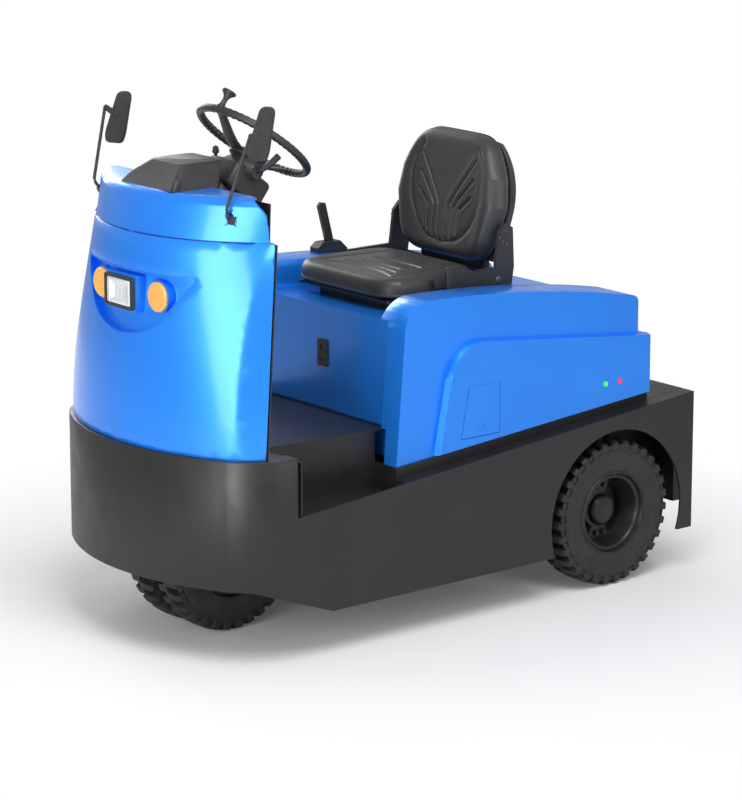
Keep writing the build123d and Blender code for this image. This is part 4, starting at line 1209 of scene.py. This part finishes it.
@dataclass
class DriverMirror:
    """One mirror on a bent rod: narrow head turned to the driver, its glass on the rear side."""

    side: Side
    reach: float
    lift: float
    yaw: float = math.radians(25.0)
    pitch: float = math.radians(28.0)

    def head(self, thick: float, scale: float) -> Shape:
        """The head's plate: an outline wider at the top, with rounded corners.

        Args:
            thick: its thickness, behind local Z 0.
            scale: size of the outline as a share of the head's.
        Returns:
            The closed plate.
        """
        corners = np.array([(-0.022, -0.080), (0.022, -0.080), (0.033, 0.052),
                            (0.029, 0.080), (-0.026, 0.080), (-0.033, 0.052)])
        outline = rounded_outline(corners * scale, [0.016, 0.016, 0.014, 0.012, 0.012, 0.014])
        return prism(outline, -thick, 0.0, min(0.005, thick * 0.3))

    def place(self) -> tuple[Array, tuple, tuple]:
        """Where the head stands.

        Returns:
            Middle of its rear face, and the directions of its local X and Z.
        """
        turn, dip = (math.cos(self.yaw), math.sin(self.yaw)), (math.cos(self.pitch), math.sin(self.pitch))
        centre = self.rod()[-1] + np.array([-0.022, self.reach, self.lift])
        return centre, (-turn[1], turn[0], 0.0), (-turn[0] * dip[0], -turn[1] * dip[0], -dip[1])

    def rod(self) -> Array:
        """Centre line of the rod, from its socket in the cap round a bend and up to the knuckle."""
        line = np.array([(1340, 0.318, 1.283), (1352, 0.320, 1.294), (1360, 0.322, 1.306),
                         (1362, 0.324, 1.318), (1358, 0.326, 1.332), (1330, 0.338, 1.424),
                         (1300, 0.352, 1.520)])
        return np.stack([ahead(line[:, 0]), self.side.value * line[:, 1], line[:, 2]], axis=-1)

    def build(self) -> None:
        """Make the rod, knuckle, head and glass in place of the CAD mirror."""
        k, rod, place = self.side.value, self.rod(), self.place()
        knuckle = tube([rod[-1], place[0] - np.array(place[2]) * 0.010], [0.008, 0.010])
        boot = tube([(ahead(1337), k * 0.3174, 1.280), (ahead(1350), k * 0.320, 1.292)], [0.0155, 0.0095], 20)
        body = tube(rod, 0.0048).joined(knuckle, boot, self.head(0.016, 1.0).placed(*place))
        made = piece(f"mirror_body_{self.side.word}", body, "trim_plastic", "chassis")
        glass = self.head(0.001, 0.88).moved(0.0, 0.0, 0.0012).placed(*place)
        piece(f"mirror_glass_{self.side.word}", glass, "mirror_glass", "chassis")
        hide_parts(f"mirror_{self.side.word}")


@dataclass
class LeverBoot:
    """Ribbed boot and cranked stalk of the direction lever on the near side of the column shroud."""

    ribs: int = 5
    length: float = 0.060
    root: float = 0.036
    taper: float = 0.015

    def build(self) -> None:
        """Make the bellows and the stalk.

        Formula: the boot's radius falls evenly along it and is waved by 12 % once for each rib.
        """
        along = np.linspace(0.0, 1.0, self.ribs * 8 + 1)
        r = (self.root - self.taper * along) * (0.88 + 0.12 * np.cos(TURN * self.ribs * along))
        wall = np.stack([r, along * self.length], axis=-1)
        shroud_side = float(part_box("column_shroud")[1][1])
        base = np.array([ahead(1082), shroud_side - 0.010, 1.362])
        profile = np.concatenate([[(POINT, 0.0)], wall, [(POINT, self.length)]])
        boot = revolve(profile, 28).placed(base, X_DIR, Y_DIR)
        crank = np.array([(0.0, 0.0, 0.0), (-0.004, 0.020, 0.006),
                          (-0.028, 0.032, 0.026), (-0.052, 0.038, 0.046)])
        stalk = tube(base + (0.0, 0.055, 0.0) + crank, [0.006, 0.0065, 0.0098, 0.0105], 14)
        piece("lever_boot", boot.joined(stalk), "trim_plastic", "chassis")


def carved(name: str, node: str, cutters: list, finish: str, body: str) -> bpy.types.Object:
    """A copy of a CAD node with shapes cut out of it, standing in the node's own place.

    Args:
        name: the new piece's name.
        node: the CAD node.
        cutters: closed shapes to take away.
        finish: slot name in the palette.
        body: CAD body it rides on.
    Returns:
        The new piece, which replaces the node.
    """
    source = frame["nodes"][node]
    mesh = source.data.copy()
    mesh.name = name
    made = bpy.data.objects.new(name, mesh)
    made.matrix_world = source.matrix_world.copy()
    bpy.context.scene.collection.objects.link(made)
    made.modifiers.new("weld", "WELD").merge_threshold = WELD_GAP
    tools = []
    for number, shape in enumerate(cutters):
        data = bpy.data.meshes.new(f"cut_{number}")
        data.from_pydata(shape.points.tolist(), [], shape.quads.tolist())
        tool = bpy.data.objects.new(f"cut_{number}", data)
        bpy.context.scene.collection.objects.link(tool)
        cut = made.modifiers.new(f"cut_{number}", "BOOLEAN")
        cut.operation, cut.solver, cut.object = "DIFFERENCE", "EXACT", tool
        tools.append(tool)
    bpy.context.view_layer.update()
    final = bpy.data.meshes.new_from_object(made.evaluated_get(bpy.context.evaluated_depsgraph_get()))
    made.modifiers.clear()
    made.data = final
    for tool in tools:
        bpy.data.objects.remove(tool, do_unlink=True)
    final.materials.clear()
    final.materials.append(PALETTE.of(finish))
    final.polygons.foreach_set("use_smooth", np.ones(len(final.polygons), bool))
    final.set_sharp_from_angle(angle=CadFinish.sharp)
    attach(made, body)
    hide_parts(node)
    log.info("%s: %d faces", name, len(final.polygons))
    return made


@dataclass
class CowlCap:
    """The cowl's cap with its two rounded upper corners and a socket round each mirror rod."""

    half: float = 0.3965
    top: float = 1.345
    corner: float = 0.072
    reach: float = 1.8
    socket: float = 0.012
    seam_from: float = 0.62
    seam_angle: float = 1.28
    seam_steps: int = 40

    def corner_waste(self) -> Shape:
        """What lies outside the left rounded corner.

        Formula: the corner's arc and a larger arc about the same middle, both carried down to a foot just
        under the arcs, drawn out along X over the cap's whole length.

        Returns:
            The closed waste.
        """
        t = np.linspace(0.0, np.pi / 2, 20)
        arc = self.corner * np.stack([np.cos(t), np.sin(t)], axis=-1)
        middle = np.array([self.half - self.corner, self.top - self.corner])
        foot = middle[1] - 0.001
        inner, outer = (np.concatenate([[(middle[0] + self.corner * k, foot)], middle + arc * k])
                        for k in (1.0, self.reach))
        return fan_prism(np.concatenate([inner, outer[::-1]]), ahead(1180), ahead(1500))

    def cutters(self, side: Side) -> list[Shape]:
        """The corner's waste and the socket's waste on one side."""
        rod = [(ahead(1338), 0.3175, 1.281), (ahead(1352), 0.3205, 1.296), (ahead(1500), 0.352, 1.455)]
        return [side.of(shape) for shape in (self.corner_waste(), tube(rod, self.socket, 24))]

    def seam(self) -> None:
        """Painted shade in the joint under the cap: a dark line along the outermost points of its foot.

        Formula: the foot's points are sorted into equal steps of angle about a point behind the cap, and the
        farthest of each step is kept; a step without points takes its distance from its neighbours.
        """
        mesh = frame["nodes"]["cowl_cap"].data
        spots = np.empty(len(mesh.vertices) * 3)
        mesh.vertices.foreach_get("co", spots)
        spots = spots.reshape(-1, 3)
        foot = spots[spots[:, 2] < spots[:, 2].min() + 0.0008]
        off = foot[:, :2] - np.array([self.seam_from, 0.0])
        angle, far = np.arctan2(off[:, 1], off[:, 0]), np.hypot(off[:, 0], off[:, 1])
        edges = np.linspace(-self.seam_angle, self.seam_angle, self.seam_steps + 1)
        step = np.clip(np.digitize(angle, edges) - 1, 0, self.seam_steps - 1)
        reach = np.zeros(self.seam_steps)
        np.maximum.at(reach, step, np.where(np.abs(angle) < self.seam_angle, far, 0.0))
        turn = (edges[:-1] + edges[1:]) / 2
        reach = np.interp(turn, turn[reach > 0.1], reach[reach > 0.1])
        x, y = self.seam_from + reach * np.cos(turn), reach * np.sin(turn)
        line = np.stack([x + 0.0006, y, 0 * turn + float(foot[0, 2])], axis=-1)
        # A dark blue tube in the joint is painted shade, standing in for the shadowed gap between cap and
        # cowl.
        piece("cap_seam", tube(line, 0.0022, 8), "seam_blue", "chassis")

    def build(self) -> None:
        """Carve the cap and lay the painted shade line in the joint under it."""
        cutters = self.cutters(Side.LEFT) + self.cutters(Side.RIGHT)
        carved("cowl_cap_shell", "cowl_cap", cutters, "body_blue", "chassis")
        self.seam()


@dataclass
class Column:
    """The wide cover over the top of the steering column, and the console cut away on the driver's side."""

    size: tuple = (0.150, 0.150, 0.085)
    edge: float = 0.016

    def build(self) -> None:
        """Make the cover and carve the console."""
        cover = rounded_block(self.size, self.edge, 4).placed((ahead(1092), 0.0, 1.322), *leaned(COLUMN_TILT))
        piece("column_cover", cover, "trim_plastic", "chassis")
        waste = np.array([(-0.30, 1.50), (-0.085, 1.50), (-0.120, 1.30), (-0.30, 1.30)])
        cutter = fan_prism(waste, ahead(1100), ahead(1500))
        carved("dash_top", "dash_console", [cutter], "trim_plastic", "chassis")


@dataclass
class Rim:
    """A dished wheel with a black groove ring, stepped flange, webs, nuts and a domed hub cap."""

    outer: float
    inner: float
    dish: float
    radius: float = 0.1302
    sink: float = 0.032
    steps: int = 144

    def face(self) -> Shape:
        """The outer face over radius and angle, its windows sunk.

        Formula: height = profile(radius) - 32 mm * window, a window being a smooth patch between radii 60 and
        92 mm that spans the angles away from the two webs at top and bottom.

        Returns:
            The face, open at its rim.
        """
        d = self.dish
        profile = np.array([
            (0.0, -d + 0.030), (0.010, -d + 0.030), (0.030, -d + 0.028), (0.041, -d + 0.024),
            (0.047, -d + 0.016), (0.049, -d + 0.002), (0.054, -d), (0.060, -d), (0.062, -d), (0.090, -d),
            (0.092, -d), (0.095, -d + 0.004), (0.097, -d + 0.012), (0.101, -d * 0.55), (0.106, -0.018),
            (0.108, -0.012),
            (0.110, -0.010), (0.116, -0.009), (0.118, -0.012), (0.120, -0.012), (0.122, -0.006),
            (0.124, -0.001), (0.127, 0.0), (0.130, -0.002), (self.radius, -0.012)])
        a = round_angles(self.steps)[:, None]
        r = profile[None, :, 0]
        away = 1.0 - smooth_step(0.80, 0.90, np.abs(np.cos(a)))
        window = away * smooth_step(0.0595, 0.0625, r) * (1.0 - smooth_step(0.0895, 0.0925, r))
        h = self.outer + profile[None, :, 1] - self.sink * window
        return grid_shape(np.stack([r * np.cos(a), r * np.sin(a), h], axis=-1), wrap_rows=True)

    def back(self) -> Shape:
        """The inner side: barrel, disc and hub boss."""
        r, disc, low = self.radius, self.outer - self.dish - 0.028, self.inner
        return revolve(np.array([
            (r, self.outer - 0.012), (r, low + 0.002), (0.126, low), (0.122, low + 0.004), (0.118, disc),
            (0.050, disc), (0.048, low + 0.002), (0.020, low + 0.002), (POINT, low + 0.002)]), self.steps)

    def nuts(self) -> Shape:
        """Two nuts on each web.

        Returns:
            The four nuts as one shape.
        """
        base = self.outer - self.dish
        places = [(t * 0.075, s * 0.014, base) for s in (-1, 1) for t in (-1, 1)]
        return studs(places, 0.0085, 0.011)

    def shape(self, x: float) -> Shape:
        """The whole rim on the left of an axle.

        Args:
            x: the axle's place along X.
        Returns:
            The rim, its local Z laid to the left and its webs up and down.
        """
        return self.face().joined(self.back(), self.nuts()).placed((x, 0.0, AXLE_Z), Z_DIR, Y_DIR)


@dataclass
class Rims:
    """The rims of the rear wheels and of the steered pair."""

    sharp: float = 28.0

    def build(self) -> None:
        """Make the rims in place of the CAD ones."""
        rear = Rim(0.472, 0.353, 0.065).shape(ahead(0))
        for side in Side:
            body = f"rear_wheel_{side.word}"
            made = piece(f"rim_rear_{side.word}", side.of(rear), "rim_black", body, self.sharp)
            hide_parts(f"rear_rim_{side.word}")
        front = Rim(0.111, 0.022, 0.044).shape(ahead(FRONT_AXLE))
        made = piece("rims_front", front.joined(front.mirrored()), "rim_black", "front_wheels", self.sharp)
        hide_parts("front_rims")


@dataclass
class Headlamp:
    """Bright reflector of the headlamp inside its black frame, stepped up to a flat rim."""

    inset: float = 0.0015
    corner: float = 0.008
    behind: float = 0.0052

    def build(self) -> None:
        """Make the reflector in place of the CAD lens.

        Formula: rings of the lens outline, each drawn toward its middle by a share and set at its own height.
        """
        low, high = (np.array(c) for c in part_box("headlamp_lens"))
        mid, half = (low + high) / 2, (high - low) / 2 - self.inset
        outline = rounded_outline(np.array([(-1, -1), (1, -1), (1, 1), (-1, 1)]) * half[1:], self.corner)
        share = np.array([POINT, 0.35, 0.62, 0.66, 0.97, 1.0, 1.0, POINT])
        height = np.array([0.0010, 0.0012, 0.0014, 0.0034, 0.0050, 0.0042, -0.002, -0.002])
        ring = outline[None] * share[:, None, None]
        level = np.broadcast_to(height[:, None, None], ring.shape[:2] + (1,))
        shape = grid_shape(np.concatenate([ring, level], axis=-1), wrap_cols=True)
        outward = Shape(shape.points, shape.quads[:, ::-1])
        shape = outward.placed((high[0] - self.behind, *mid[1:]), Y_DIR, X_DIR)
        made = piece("headlamp_reflector", shape, "lamp_silver", "chassis")
        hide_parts("headlamp_lens")


@dataclass(frozen=True)
class SoftLamp:
    """A square lamp of soft light that faces the tug's middle."""

    name: str
    place: tuple
    size: float
    watts: float
    aim: tuple = (0.0, 0.0, 0.7)

    def hang(self) -> None:
        """Put the lamp in the scene."""
        data = bpy.data.lights.new(self.name, "AREA")
        data.shape, data.size, data.energy = "SQUARE", self.size, self.watts
        stand(bpy.data.objects.new(self.name, data), self.place, self.aim)


def stand(obj: bpy.types.Object, place: tuple, aim: tuple) -> None:
    """Put a lamp or a camera in the scene, looking at a point.

    Args:
        obj: the lamp or camera.
        place: where it stands.
        aim: the point that it looks at.
    """
    obj.location = place
    obj.rotation_mode = "QUATERNION"
    obj.rotation_quaternion = (Vector(aim) - Vector(place)).to_track_quat("-Z", "Y")
    bpy.context.scene.collection.objects.link(obj)


LAMPS = (
    SoftLamp("lamp_key", (1.2, 2.6, 4.8), 2.8, 170.0),
    SoftLamp("lamp_front", (4.2, 1.7, 1.15), 2.2, 110.0),
    SoftLamp("lamp_side", (-0.8, 5.4, 2.8), 2.6, 60.0),
    SoftLamp("lamp_edge", (-0.6, -4.2, 2.4), 2.4, 95.0),
)


@dataclass
class Studio:
    """Plain pale floor, soft light and the camera of the photograph."""

    eye: tuple = (6.5785, 8.055, 3.110)
    aim: tuple = (0.0175, -0.001, 0.587)
    lens: float = 157.5
    sensor: float = 36.0
    ambient: float = 0.40
    gloss_share: float = 0.25
    floor_half: float = 30.0
    floor_z: float = -0.0005
    floor_grey: float = 0.78
    fade_from: float = 0.9
    fade_to: float = 1.9
    fade_least: float = 0.05

    def camera(self) -> None:
        """Stand the camera where the photograph was taken from."""
        data = bpy.data.cameras.new("camera")
        data.lens, data.sensor_width, data.sensor_fit = self.lens, self.sensor, "AUTO"
        data.clip_end = 100.0
        cam = bpy.data.objects.new("camera", data)
        stand(cam, self.eye, self.aim)
        bpy.context.scene.camera = cam

    def world(self) -> None:
        """Even light all round, and white where the camera, a gloss or glass looks past the tug."""
        world = bpy.data.worlds.new("studio")
        bpy.context.scene.world = world
        world.use_nodes = True
        nodes = Nodes(world.node_tree)
        ray = nodes.add("ShaderNodeLightPath").outputs
        seen = nodes.math("MAXIMUM", ray["Is Camera Ray"], ray["Is Transmission Ray"])
        gloss = nodes.math("MULTIPLY", ray["Is Glossy Ray"], self.gloss_share)
        back = nodes.tree.nodes["Background"]
        back.inputs[0].default_value = (1.0, 1.0, 1.0, 1.0)
        level = nodes.ramp(nodes.math("MAXIMUM", seen, gloss), 0.0, 1.0, self.ambient, 1.0)
        nodes.tree.links.new(level, back.inputs[1])

    def floor(self) -> None:
        """A wide pale floor that keeps the tug's shadow and fades to white away from it.

        Formula: the share of white light that the camera sees rises with the distance from the origin.
        """
        t = np.linspace(-1.0, 1.0, 9) * self.floor_half
        x, y = np.meshgrid(t, t, indexing="ij")
        shape = grid_shape(np.stack([x, y, 0 * x + self.floor_z], axis=-1))
        mesh = bpy.data.meshes.new("floor")
        mesh.from_pydata(shape.points.tolist(), [], shape.quads.tolist())
        obj = bpy.data.objects.new("floor", mesh)
        bpy.context.scene.collection.objects.link(obj)
        g = Graph("floor_white")
        grey = self.floor_grey
        g.set(Roughness=0.9, Specular_IOR_Level=0.0, Base_Color=(grey, grey, grey, 1.0))
        white = g.add("ShaderNodeEmission", Color=(1.0, 1.0, 1.0, 1.0), Strength=1.0).outputs[0]
        ray = g.add("ShaderNodeLightPath").outputs
        xyz = g.add("ShaderNodeSeparateXYZ", i0=g.place).outputs
        square = g.math("ADD", g.math("MULTIPLY", xyz[0], xyz[0]), g.math("MULTIPLY", xyz[1], xyz[1]))
        share = g.ramp(g.math("SQRT", square), self.fade_from, self.fade_to, self.fade_least, 1.0)
        seen = g.math("MAXIMUM", ray["Is Camera Ray"], ray["Is Transmission Ray"])
        shown = g.math("MULTIPLY", share, seen)
        mixed = g.add("ShaderNodeMixShader", i0=shown, i1=g.shader.outputs[0], i2=white)
        g.tree.links.new(mixed.outputs[0], g.tree.nodes["Material Output"].inputs[0])
        mesh.materials.append(g.material)

    def build(self) -> None:
        """Set the picture up."""
        self.camera()
        self.world()
        self.floor()
        for lamp in LAMPS:
            lamp.hang()
        bpy.context.scene.view_settings.view_transform = "Standard"


def main() -> None:
    """Build every sub-assembly in order, each piece logged as it is made."""
    logging.basicConfig(level=logging.INFO, format="%(message)s")
    Studio().build()
    CadFinish().dress()
    Wheels().build()
    Rims().build()
    Seat().build()
    SteeringWheel().build()
    DriverMirror(Side.LEFT, 0.034, 0.007).build()
    DriverMirror(Side.RIGHT, 0.047, -0.030).build()
    LeverBoot().build()
    CowlCap().build()
    Column().build()
    Headlamp().build()


if __name__ == "__main__":
    main()
